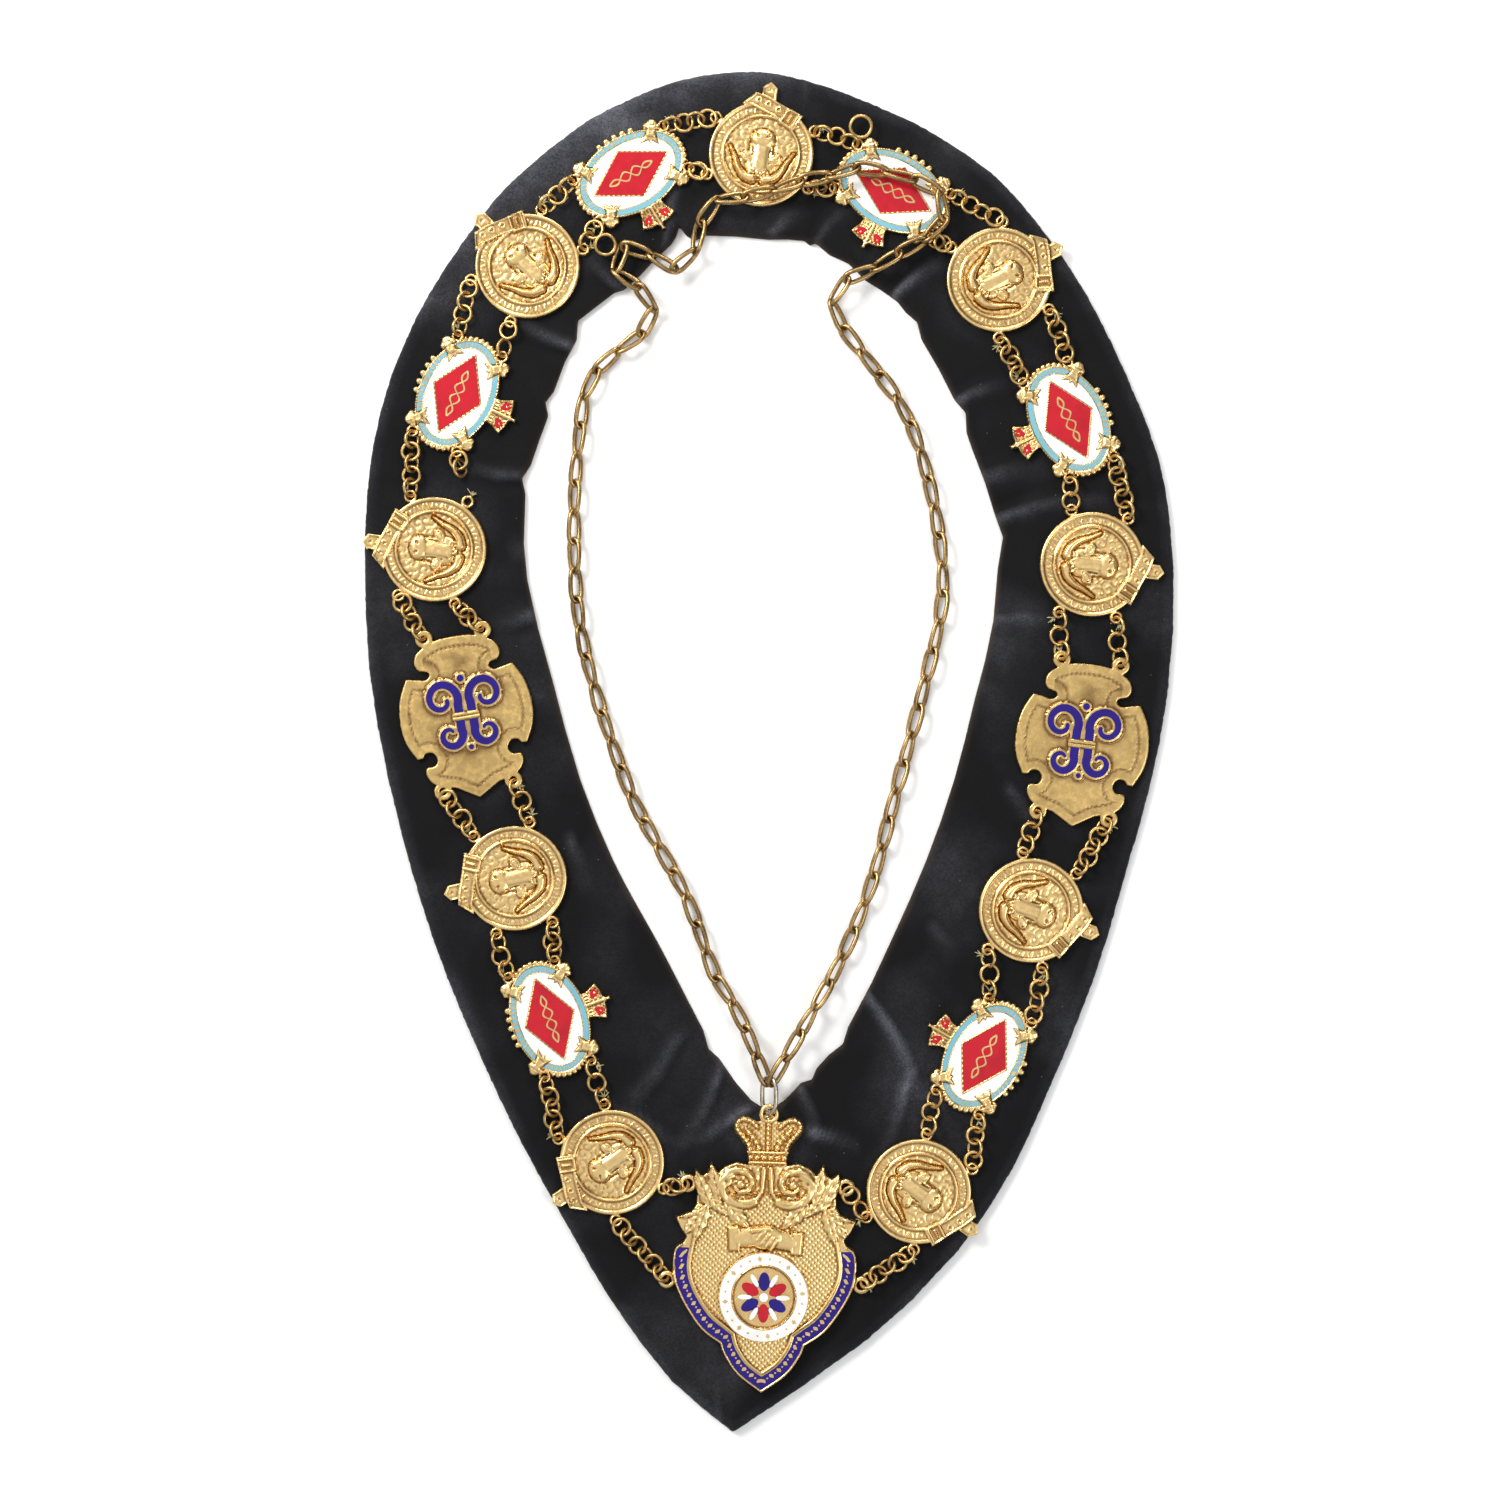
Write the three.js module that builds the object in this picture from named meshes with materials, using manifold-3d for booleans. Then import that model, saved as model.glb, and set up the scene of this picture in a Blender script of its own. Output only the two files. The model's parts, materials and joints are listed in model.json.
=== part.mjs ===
// A chain of office lying flat, seen from above: a black velvet collar carrying eighteen gilt
// badges joined by fine ring chains, with a long-link neck chain hooked on the main jewel.
// Millimetres. X runs across the collar, Y from the pointed front up to the nape, Z up.

import * as THREE from 'three';
import { mergeVertices } from 'three/addons/utils/BufferGeometryUtils.js';
import Module from 'manifold-3d';

const wasm = await Module();
wasm.setup();

// Driving dimensions
const collarWidth = 283;
const collarLength = 476;
const velvetThickness = 3.4;
const velvetEdge = 0.9;
const pieceGap = 0.3;

const badgeThickness = 1.6;
const lugThickness = 1.3;
const reliefHeight = 1.1;

const medallionRadius = 18.4;
const medallionLugReach = 20.3;
const medallionLugRadius = 2.5;
const medallionTabReach = 25;

const ovalLength = 39.6;
const ovalWidth = 27.2;
const ovalRimWidth = 2.9;
const ovalCrownHeight = 9;
const ovalCrownWidth = 12.8;
const ovalLugRadius = 2.3;
const lozengeLength = 30;
const lozengeWidth = 18;

const plateWidth = 47;
const plateHeight = 57;
const plateLugRadius = 3.9;
const plateEyeRadius = 1.2;
const plateMotifRadius = 14;

const jewelWidth = 64;
const jewelHeight = 97;
const jewelThickness = 2;
const jewelLugRadius = 4;
const jewelEyeRadius = 1.5;
const jewelCrownThickness = 3;
const roundelRadius = 15.9;
const roundelHoleRadius = 11.1;
const roundelThickness = 1.3;

const topEyeRadius = 2;
const topEyeWire = 1.5;
const bailLength = 14;
const bailWidth = 8.4;
const bailWire = 1.6;
const bailTilt = 45;

const neckLinkPitch = 10.2;
const neckLinkWidth = 6.3;
const neckWire = 1.7;
const neckLinkFusion = 0.15;
const neckMeetGap = 0.6;
const hookGap = 1;
const hookSideGap = 0.15;
const linkRoll = 45;

const ringChainWidth = 3.4;
const ringChainHeight = 3.2;

// Levels worked out from the sizes above
const halfWidth = collarWidth / 2;
const halfLength = collarLength / 2;
const badgeBase = velvetThickness + pieceGap;
const badgeTop = badgeBase + badgeThickness + reliefHeight;
const neckWireRadius = neckWire / 2;
const neckArcRadius = (neckLinkWidth - neckWire) / 2;
const neckHalfRise = neckArcRadius * Math.sin(THREE.MathUtils.degToRad(linkRoll)) + neckWireRadius;

const root = new THREE.Group();

const finish = {
  velvet: { color: 0x17171a, roughness: 0.95, metalness: 0 },
  gilt: { color: 0xd9a441, roughness: 0.35, metalness: 1 },
  brass: { color: 0x8a6a35, roughness: 0.45, metalness: 1 },
  nickel: { color: 0x9a9484, roughness: 0.35, metalness: 1 },
  enamel: { color: 0xf2f0ea, roughness: 0.2, metalness: 0 },
};

// Solids: closed meshes in and out of the boolean library

function toSolid(geometry) {
  const bare = geometry.clone();
  bare.deleteAttribute('normal');
  bare.deleteAttribute('uv');
  const merged = mergeVertices(bare, 1e-5);
  return new wasm.Manifold(new wasm.Mesh({
    numProp: 3,
    vertProperties: new Float32Array(merged.attributes.position.array),
    triVerts: new Uint32Array(merged.index.array),
  }));
}

function toGeometry(solid) {
  const mesh = solid.getMesh();
  const geometry = new THREE.BufferGeometry();
  geometry.setAttribute('position', new THREE.BufferAttribute(mesh.vertProperties, 3));
  geometry.setIndex(new THREE.BufferAttribute(mesh.triVerts, 1));
  return geometry;
}

function fuse(solids) {
  return solids.reduce((joined, solid) => joined.add(solid));
}

function addPiece(name, geometry, look) {
  geometry.computeVertexNormals();
  const mesh = new THREE.Mesh(geometry, new THREE.MeshStandardMaterial(look));
  mesh.name = name;
  root.add(mesh);
  return mesh;
}

// A solid through a loop of sections. Each section is a closed ring of points, and the loop of
// sections closes on itself.
function loopLoft(sections) {
  const ringSize = sections[0].length;
  const positions = sections.flat().flatMap((point) => [point.x, point.y, point.z]);
  const index = [];
  sections.forEach((_, s) => {
    const next = (s + 1) % sections.length;
    for (let k = 0; k < ringSize; k++) {
      const after = (k + 1) % ringSize;
      const [a, b] = [s * ringSize + k, s * ringSize + after];
      const [c, d] = [next * ringSize + k, next * ringSize + after];
      index.push(a, c, b, b, c, d);
    }
  });
  const geometry = new THREE.BufferGeometry();
  geometry.setAttribute('position', new THREE.Float32BufferAttribute(positions, 3));
  geometry.setIndex(index);
  return geometry;
}

// Flat shapes

function polygonPoints(radius, sides, turn = 0) {
  return Array.from({ length: sides }, (_, k) => {
    const angle = turn + (2 * Math.PI * k) / sides;
    return new THREE.Vector2(radius * Math.cos(angle), radius * Math.sin(angle));
  });
}

function ellipsePoints(halfX, halfY, sides) {
  return polygonPoints(1, sides, Math.PI / sides)
    .map((p) => new THREE.Vector2(p.x * halfX, p.y * halfY));
}

function slab(points, bottom, thickness, holes = []) {
  const shape = new THREE.Shape(points);
  shape.holes = holes.map((hole) => new THREE.Path(hole));
  const geometry = new THREE.ExtrudeGeometry(shape, {
    depth: thickness, bevelEnabled: false, curveSegments: 1,
  });
  geometry.translate(0, 0, bottom);
  return geometry;
}

function mirrored(half) {
  const points = half.map(([x, y]) => new THREE.Vector2(x, y));
  const other = half.filter(([x]) => x > 0).map(([x, y]) => new THREE.Vector2(-x, y)).reverse();
  return points.concat(other);
}

// A boss with sloping sides, from a foot outline up to a smaller top outline
function boss(points, topShare, bottom, height) {
  const geometry = slab(points, bottom, height);
  const position = geometry.attributes.position;
  const centre = points.reduce((sum, p) => sum.add(p), new THREE.Vector2()).divideScalar(points.length);
  for (let k = 0; k < position.count; k++) {
    if (position.getZ(k) > bottom + height / 2) {
      position.setX(k, centre.x + (position.getX(k) - centre.x) * topShare);
      position.setY(k, centre.y + (position.getY(k) - centre.y) * topShare);
    }
  }
  return geometry;
}

function turned(points, degrees) {
  const angle = THREE.MathUtils.degToRad(degrees);
  return points.map((p) => p.clone().rotateAround(new THREE.Vector2(), angle));
}

// The velvet collar: a row for each section from its pointed front round by the wearer's right,
// over the nape and back, in percent of the half width and half length
const collarSections = [
  { innerX: -0.2, innerY: -52.6, outerX: -8.9, outerY: -100 },
  { innerX: -4.4, innerY: -51.2, outerX: -24.2, outerY: -92.4 },
  { innerX: -12.1, innerY: -45.3, outerX: -39.1, outerY: -80.6 },
  { innerX: -17.6, innerY: -39.4, outerX: -50.7, outerY: -68.8 },
  { innerX: -22.7, innerY: -33.5, outerX: -61.6, outerY: -57.1 },
  { innerX: -27.9, innerY: -27.6, outerX: -71, outerY: -45.3 },
  { innerX: -33.4, innerY: -21.8, outerX: -79.4, outerY: -33.5 },
  { innerX: -38.6, innerY: -15.9, outerX: -86.3, outerY: -21.8 },
  { innerX: -46.7, innerY: -4.1, outerX: -94.2, outerY: -4.1 },
  { innerX: -53.6, innerY: 10.6, outerX: -98.9, outerY: 12.1 },
  { innerX: -59.8, innerY: 25.3, outerX: -100, outerY: 27.5 },
  { innerX: -60.6, innerY: 35.6, outerX: -99.6, outerY: 37.1 },
  { innerX: -58.6, innerY: 42.9, outerX: -97.7, outerY: 45.9 },
  { innerX: -54.9, innerY: 48.8, outerX: -94.2, outerY: 54 },
  { innerX: -52.4, innerY: 54.7, outerX: -90.2, outerY: 60.1 },
  { innerX: -48.2, innerY: 59.9, outerX: -85, outerY: 66.5 },
  { innerX: -40.8, innerY: 66.9, outerX: -71.9, outerY: 78.2 },
  { innerX: -35.8, innerY: 67.9, outerX: -64, outerY: 83.7 },
  { innerX: -28.2, innerY: 72.4, outerX: -45.5, outerY: 92.6 },
  { innerX: -24.2, innerY: 74.6, outerX: -34.6, outerY: 95.9 },
  { innerX: -22, innerY: 76.3, outerX: -26.5, outerY: 97.9 },
  { innerX: -18.5, innerY: 75.1, outerX: -19.5, outerY: 99.1 },
  { innerX: -15.6, innerY: 75.9, outerX: -12.6, outerY: 99.7 },
  { innerX: -0.2, innerY: 75.3, outerX: -2.2, outerY: 100 },
  { innerX: 8.7, innerY: 75.1, outerX: 9.1, outerY: 98.7 },
  { innerX: 10.6, innerY: 74.1, outerX: 17.6, outerY: 97.1 },
  { innerX: 19.5, innerY: 71.8, outerX: 34.4, outerY: 92.9 },
  { innerX: 23.7, innerY: 69.3, outerX: 42.3, outerY: 90.3 },
  { innerX: 31.6, innerY: 66.2, outerX: 55.4, outerY: 84.9 },
  { innerX: 38.3, innerY: 59.9, outerX: 67.5, outerY: 76.8 },
  { innerX: 45.2, innerY: 52.5, outerX: 76.9, outerY: 68.8 },
  { innerX: 50.2, innerY: 44.4, outerX: 88.3, outerY: 55.4 },
  { innerX: 55.9, innerY: 34.1, outerX: 96.7, outerY: 42.2 },
  { innerX: 55.4, innerY: 19.4, outerX: 100, outerY: 26.8 },
  { innerX: 50.7, innerY: 7.6, outerX: 98.6, outerY: 9.1 },
  { innerX: 45.7, innerY: -4.1, outerX: 94.2, outerY: -4.9 },
  { innerX: 38.8, innerY: -15.9, outerX: 88.3, outerY: -17.4 },
  { innerX: 30.2, innerY: -27.6, outerX: 80.6, outerY: -32.8 },
  { innerX: 20.5, innerY: -39.4, outerX: 67, outerY: -52.6 },
  { innerX: 13.6, innerY: -45.3, outerX: 58.6, outerY: -62.9 },
  { innerX: 7.2, innerY: -49, outerX: 44.7, outerY: -74.7 },
  { innerX: 3.7, innerY: -51.2, outerX: 24, outerY: -86.5 },
];

// Pleats where the velvet is gathered along its inner edge: the section they are at, how many
// sections wide, how far in they nick the edge and how high they stand, in shares of the thickness
const collarPleats = [
  { at: 2.4, spread: 0.35, nick: 0.5, rise: 0.3 },
  { at: 11.6, spread: 0.3, nick: 0.6, rise: 0.3 },
  { at: 13.4, spread: 0.3, nick: 0.6, rise: 0.35 },
  { at: 15.4, spread: 0.3, nick: 0.8, rise: 0.35 },
  { at: 20, spread: 0.4, nick: 0.7, rise: 0 },
  { at: 25.1, spread: 0.4, nick: 0.6, rise: 0.2 },
  { at: 28.6, spread: 0.3, nick: 0.5, rise: 0.35 },
  { at: 30.4, spread: 0.3, nick: 0.6, rise: 0.3 },
  { at: 32.2, spread: 0.3, nick: 0.6, rise: 0.35 },
  { at: 38.5, spread: 0.35, nick: 0.5, rise: 0.3 },
  { at: 39.6, spread: 0.3, nick: 0.5, rise: 0.25 },
];
const sectionSteps = 2;
const pleatReach = 0.22;

function percentPoint(x, y) {
  return new THREE.Vector3((x / 100) * halfWidth, (y / 100) * halfLength, 0);
}

function makeCollar() {
  const closed = [...collarSections, collarSections[0]];
  const innerEdge = new THREE.CatmullRomCurve3(closed.map((s) => percentPoint(s.innerX, s.innerY)));
  const outerEdge = new THREE.CatmullRomCurve3(closed.map((s) => percentPoint(s.outerX, s.outerY)));
  const rows = closed.length - 1;
  const stations = Array.from({ length: rows * sectionSteps }, (_, k) => k / sectionSteps);
  const creases = collarPleats.flatMap(({ at, spread }) => [at - spread, at, at + spread]);
  const clear = (at) => creases.every((crease) => Math.abs(crease - at) > 0.3);
  const every = stations.filter(clear).concat(creases).sort((a, b) => a - b);

  const sections = every.map((at) => {
    const inner = innerEdge.getPoint(at / rows);
    const outer = outerEdge.getPoint(at / rows);
    const across = outer.clone().sub(inner);
    const width = across.length();
    across.normalize();
    const pleat = collarPleats.find((fold) => fold.at === at);
    const nick = pleat ? pleat.nick * velvetThickness : 0;
    const rise = pleat ? pleat.rise * velvetThickness : 0;
    const place = (inset, height) => {
      const point = inner.clone().addScaledVector(across, inset);
      point.z = height;
      return point;
    };
    return [
      place(nick, 0),
      place(nick + velvetEdge, velvetThickness + rise),
      place(width * pleatReach, velvetThickness),
      place(width - velvetEdge, velvetThickness),
      place(width, 0),
    ];
  });
  return toSolid(loopLoft(sections));
}

// The outline of a badge that bulges round its centre: a rim with lugs and other outer points, all
// in order round the centre
function bulgingOutline(rim, lugs, lugRadius, extras) {
  const points = [...extras];
  lugs.forEach((at) => {
    [-125, -45, 45, 125].forEach((degrees) => {
      const angle = at.angle() + THREE.MathUtils.degToRad(degrees);
      const step = new THREE.Vector2(Math.cos(angle), Math.sin(angle)).multiplyScalar(lugRadius);
      points.push(at.clone().add(step));
    });
  });
  const keep = rim.filter((p) => points.concat(lugs).every((q) => p.distanceTo(q) > lugRadius));
  return keep.concat(points).sort((p, q) => p.angle() - q.angle());
}

function eyeHoles(lugs, eyeRadius) {
  return lugs.map((at) => polygonPoints(eyeRadius, 4, at.angle()).map((p) => p.add(at)));
}

// A belt-and-buckle medallion, its belt tab along +Y. The belt's corners and the horned head are
// in shares of the radius.
const medallionLugAngles = [31, 149, -28, 208];
const beltOutline = [[0.47, 0.88], [-0.22, 1.13], [-0.55, 0.87], [-0.36, 0.7], [0.5, 0.52], [0.67, 0.69]];
const muzzleOutline = [[-0.17, 0.38], [0.17, 0.38], [0.28, -0.27], [-0.28, -0.27]];
const hornOutline = [[0.11, -0.37], [0.48, -0.34], [0.61, 0.09], [0.2, -0.12]];

function makeMedallion() {
  const r = medallionRadius;
  const sized = (points, side = 1) => points.map(([x, y]) => new THREE.Vector2(side * x * r, y * r));
  const lugs = medallionLugAngles.map((degrees) => {
    const at = new THREE.Vector2(medallionLugReach, 0);
    return at.rotateAround(new THREE.Vector2(), THREE.MathUtils.degToRad(degrees));
  });
  const tabHalf = r * 0.15;
  const tab = [[tabHalf, r * 1.02], [tabHalf, medallionTabReach - tabHalf], [0, medallionTabReach],
    [-tabHalf, medallionTabReach - tabHalf], [-tabHalf, r * 1.1]].map(([x, y]) => new THREE.Vector2(x, y));
  const beltCorners = sized(beltOutline.slice(1, 3));
  const rim = polygonPoints(r, 18, 0.1);
  const outline = bulgingOutline(rim, lugs, medallionLugRadius, [...tab, ...beltCorners]);
  const body = toSolid(slab(outline, 0, badgeThickness));
  const foot = badgeThickness - 0.2;
  const belt = toSolid(boss(sized(beltOutline), 0.93, foot, reliefHeight * 0.7));
  const muzzle = toSolid(boss(sized(muzzleOutline), 0.55, foot, reliefHeight + 0.2));
  const horns = [sized(hornOutline), sized(hornOutline, -1).reverse()].map((points) => {
    return toSolid(boss(points, 0.7, foot, reliefHeight));
  });
  return { solid: fuse([body, belt, muzzle, ...horns]), lugs };
}

// An enamelled oval, long side along Y, its crown along +X
const ovalLugPlace = { across: 0.63, along: 0.93 };
const corners = [[1, 1], [-1, 1], [-1, -1], [1, -1]];

function makeOval() {
  const [halfX, halfY] = [ovalWidth / 2, ovalLength / 2];
  const lugs = corners.map(([sx, sy]) => {
    return new THREE.Vector2(sx * halfX * ovalLugPlace.across, sy * halfY * ovalLugPlace.along);
  });
  const [footX, footY] = [halfX - 0.5, ovalCrownWidth * 0.345];
  const [hipX, hipY] = [halfX + ovalCrownHeight * 0.6, ovalCrownWidth * 0.47];
  const crown = [[footX, footY], [hipX, hipY], [halfX + ovalCrownHeight, 0], [hipX, -hipY], [footX, -footY]]
    .map(([x, y]) => new THREE.Vector2(x, y));
  const rim = ellipsePoints(halfX, halfY, 18).filter((p) => p.x < halfX - 0.6);
  const outline = bulgingOutline(rim, lugs, ovalLugRadius, crown);
  const body = toSolid(slab(outline, 0, badgeThickness));
  const lozengePoints = corners.map(([sx, sy], k) => {
    const [x, y] = k % 2 ? [0, (sy * lozengeLength) / 2] : [(sx * lozengeWidth) / 2, 0];
    return new THREE.Vector2(x, y);
  });
  const lozenge = toSolid(slab(lozengePoints, badgeThickness - 0.2, 0.5));
  const claspHalf = ovalRimWidth;
  const clasps = corners.map(([sx, sy]) => {
    const at = new THREE.Vector2(sx * (halfX - ovalRimWidth * 0.6), sy * (halfY - ovalRimWidth * 0.6));
    at.multiplyScalar(Math.SQRT1_2);
    const square = polygonPoints(claspHalf, 4, at.angle()).map((p) => p.add(at));
    return toSolid(boss(square, 0.7, badgeThickness - 0.2, reliefHeight));
  });
  return { solid: fuse([body, lozenge, ...clasps]), lugs };
}

// A shaped plate with its raised double scroll, upright along +Y. The outline is the right half,
// in shares of the half width and half height.
const plateOutline = [
  [0, 0.93], [0.3, 0.91], [0.33, 1.04], [0.54, 1.05], [0.58, 0.83], [0.65, 0.66], [0.6, 0.57],
  [0.46, 0.55], [0.48, 0.47], [0.81, 0.5], [0.95, 0.26], [1, -0.035], [0.955, -0.28], [0.83, -0.5],
  [0.66, -0.455], [0.55, -0.53], [0.58, -0.605], [0.71, -0.61], [0.71, -0.75], [0.65, -0.96],
  [0.47, -1.03], [0.37, -0.92], [0, -1.07],
];
const plateLugs = [[0.44, 0.95], [-0.44, 0.95], [-0.53, -0.925], [0.53, -0.925]];

function makePlate() {
  const [halfX, halfY] = [plateWidth / 2, plateHeight / 2];
  const outline = mirrored(plateOutline.map(([x, y]) => [x * halfX, y * halfY]));
  const lugs = plateLugs.map(([x, y]) => new THREE.Vector2(x * halfX, y * halfY));
  const body = toSolid(slab(outline, 0, badgeThickness, eyeHoles(lugs, plateEyeRadius)));
  const scrollWidth = 0.3;
  const motif = [1, -1].map((side) => {
    const outer = Array.from({ length: 6 }, (_, k) => {
      const angle = THREE.MathUtils.degToRad(245 - 50 * k);
      const r = plateMotifRadius;
      return new THREE.Vector2(side * (r * 0.36 + r * 0.64 * Math.cos(angle)), r * Math.sin(angle));
    });
    const inner = outer.map((p) => new THREE.Vector2(
      side * plateMotifRadius * 0.36 + (p.x - side * plateMotifRadius * 0.36) * (1 - scrollWidth * 1.6),
      p.y * (1 - scrollWidth))).reverse();
    return toSolid(slab(outer.concat(inner), badgeThickness - 0.3, reliefHeight + 0.3));
  });
  return { solid: fuse([body, ...motif]), lugs };
}

// The main jewel, upright along +Y: the right half of its outline and of the enamel band's inner
// edge, in shares of the half width and the height. The crown stands on its top.
const jewelOutline = [
  [0, 0.315], [0.3, 0.32], [0.46, 0.305], [0.6, 0.325], [0.68, 0.29], [0.82, 0.285], [0.95, 0.265],
  [0.95, 0.225], [0.82, 0.205], [0.8, 0.15], [0.98, 0.125], [0.84, 0.055], [0.97, 0.02], [1, -0.06],
  [1.12, -0.07], [1.16, -0.11], [1.08, -0.132], [0.955, -0.135], [0.86, -0.2], [0.67, -0.275],
  [0.46, -0.325], [0.42, -0.365], [0.27, -0.43], [0, -0.5],
];
const jewelFieldOutline = [
  [0, 0.04], [0.79, 0.03], [0.82, -0.05], [0.76, -0.12], [0.58, -0.21], [0.32, -0.285], [0.27, -0.33],
  [0.16, -0.385], [0, -0.425],
];
const jewelHandsOutline = [[0, 0.113], [0.125, 0.113], [0.4, 0.093], [0.4, 0.022], [0, 0.022]];
const jewelLugs = [[0.86, 0.25], [-0.86, 0.25], [-1.06, -0.098], [1.06, -0.098]];
const jewelCrownOutline = [[0, 0.3], [0.21, 0.3], [0.37, 0.46], [0.34, 0.495], [0.2, 0.505], [0, 0.48]];

function makeJewel() {
  const halfX = jewelWidth / 2;
  const size = (half) => mirrored(half.map(([x, y]) => [x * halfX, y * jewelHeight]));
  const lugs = jewelLugs.map(([x, y]) => new THREE.Vector2(x * halfX, y * jewelHeight));
  const plate = toSolid(slab(size(jewelOutline), 0, jewelThickness + 0.5, eyeHoles(lugs, jewelEyeRadius)));
  const sunk = toSolid(slab(size(jewelFieldOutline), jewelThickness, 1));
  const crown = toSolid(slab(size(jewelCrownOutline), 0, jewelCrownThickness));
  const topEyeY = jewelHeight * 0.48 + topEyeRadius + topEyeWire * 0.6;
  const topEyeCentre = new THREE.Vector3(0, topEyeY, jewelCrownThickness - topEyeWire * 0.1);
  const topEye = new THREE.TorusGeometry(topEyeRadius + topEyeWire / 2, topEyeWire / 2, 6, 10);
  topEye.translate(topEyeCentre.x, topEyeCentre.y, topEyeCentre.z);
  const hands = toSolid(boss(size(jewelHandsOutline), 0.86, jewelThickness - 0.5, reliefHeight + 0.5));
  const volutes = [1, -1].map((side) => {
    const at = new THREE.Vector2(side * halfX * 0.36, jewelHeight * 0.235);
    const round = polygonPoints(halfX * 0.27, 7).map((p) => p.add(at));
    return toSolid(boss(round, 0.7, jewelThickness - 0.3, reliefHeight + 0.6));
  });
  const solid = fuse([plate.subtract(sunk), crown, toSolid(topEye), hands, ...volutes]);
  return { solid, lugs, topEye: topEyeCentre };
}

// Where the badges lie, clockwise from the nape, in percent of the half width and half length,
// with the way each one points
const badges = [
  { kind: 'medallion', x: -2, y: 87.6, turn: 82 },
  { kind: 'oval', x: 30.4, y: 82.2, turn: -118 },
  { kind: 'medallion', x: 56.6, y: 69.2, turn: 28 },
  { kind: 'oval', x: 73.7, y: 48.7, turn: 206 },
  { kind: 'medallion', x: 79.6, y: 27.5, turn: -7 },
  { kind: 'plate', x: 77.1, y: 1.8, turn: 83.2 },
  { kind: 'medallion', x: 64.5, y: -23.2, turn: -20 },
  { kind: 'oval', x: 52.9, y: -44.6, turn: 150 },
  { kind: 'medallion', x: 36.8, y: -64.4, turn: -36 },
  { kind: 'jewel', x: -1.1, y: -73.7, turn: 88.3 },
  { kind: 'medallion', x: -38.8, y: -60.1, turn: 215 },
  { kind: 'oval', x: -54.1, y: -39.1, turn: 20 },
  { kind: 'medallion', x: -62.8, y: -18.5, turn: 193 },
  { kind: 'plate', x: -74.8, y: 6, turn: 99.5 },
  { kind: 'medallion', x: -82.6, y: 29.7, turn: 173 },
  { kind: 'oval', x: -76.9, y: 52.5, turn: -25.5 },
  { kind: 'medallion', x: -59.6, y: 71.2, turn: 135 },
  { kind: 'oval', x: -34.1, y: 84.7, turn: -59 },
];
const makers = { medallion: makeMedallion(), oval: makeOval(), plate: makePlate(), jewel: makeJewel() };
const forwardOf = { medallion: 90, oval: 0, plate: 90, jewel: 90 };

function placeBadge(badge, number) {
  const made = makers[badge.kind];
  const angle = THREE.MathUtils.degToRad(badge.turn - forwardOf[badge.kind]);
  const place = new THREE.Matrix4().makeRotationZ(angle);
  place.setPosition((badge.x / 100) * halfWidth, (badge.y / 100) * halfLength, badgeBase);
  const name = badge.kind === 'jewel' ? 'jewel' : `${badge.kind}_${number}`;
  addPiece(name, toGeometry(made.solid), finish.gilt).applyMatrix4(place);
  const lugs = made.lugs.map((p) => new THREE.Vector3(p.x, p.y, lugThickness / 2).applyMatrix4(place));
  return { ...badge, number, place, lugs, centre: new THREE.Vector3().setFromMatrixPosition(place) };
}

addPiece('velvet_collar', toGeometry(makeCollar()), finish.velvet);
const placed = badges.map((badge, k) => placeBadge(badge, k + 1));

// The applied roundel sits on the jewel's sunk field
const roundel = toSolid(slab(polygonPoints(roundelRadius, 20), 0, roundelThickness));
const roundelField = toSolid(slab(polygonPoints(roundelHoleRadius, 14), roundelThickness - 0.5, 1));
const knotBar = ellipsePoints(roundelHoleRadius * 1.08, roundelHoleRadius * 0.14, 4);
const knot = [0, 60, 120].map((degrees) => {
  return toSolid(slab(turned(knotBar, degrees), 0.2, roundelThickness));
});
const roundelSolid = fuse([roundel.subtract(roundelField), ...knot]);
const jewelPlaced = placed.find((badge) => badge.kind === 'jewel');
const roundelLevel = jewelThickness + 0.5 + pieceGap;
const roundelPlace = jewelPlaced.place.clone()
  .multiply(new THREE.Matrix4().makeTranslation(0, -0.148 * jewelHeight, roundelLevel));
addPiece('jewel_roundel', toGeometry(roundelSolid), finish.enamel).applyMatrix4(roundelPlace);

// The fine ring chains: two rows from each badge to the next, each drawn from lug to lug
const brokenRow = { from: 15, row: 'inner', reach: 0.5 };

function rowLugs(badge, towards) {
  const travel = towards.clone().sub(badge.centre).normalize();
  const outward = badge.centre.clone().normalize();
  const nearest = [...badge.lugs].sort((a, b) => {
    return b.clone().sub(badge.centre).dot(travel) - a.clone().sub(badge.centre).dot(travel);
  }).slice(0, 2);
  nearest.sort((a, b) => b.dot(outward) - a.dot(outward));
  return { outer: nearest[0], inner: nearest[1] };
}

const lugRadiusOf = {
  medallion: medallionLugRadius, oval: ovalLugRadius, plate: plateLugRadius, jewel: jewelLugRadius,
};

function ringChain(name, start, startRadius, end, endRadius) {
  const run = end.clone().sub(start).normalize();
  const level = badgeBase + ringChainHeight / 2;
  const from = start.clone().addScaledVector(run, startRadius + pieceGap).setZ(level);
  const to = end.clone().addScaledVector(run, -endRadius - pieceGap).setZ(level);
  const section = new THREE.Shape(ellipsePoints(ringChainHeight / 2, ringChainWidth / 2, 8));
  const path = new THREE.LineCurve3(from, to);
  const geometry = new THREE.ExtrudeGeometry(section, { steps: 1, extrudePath: path, bevelEnabled: false });
  addPiece(name, geometry, finish.gilt);
}

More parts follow.
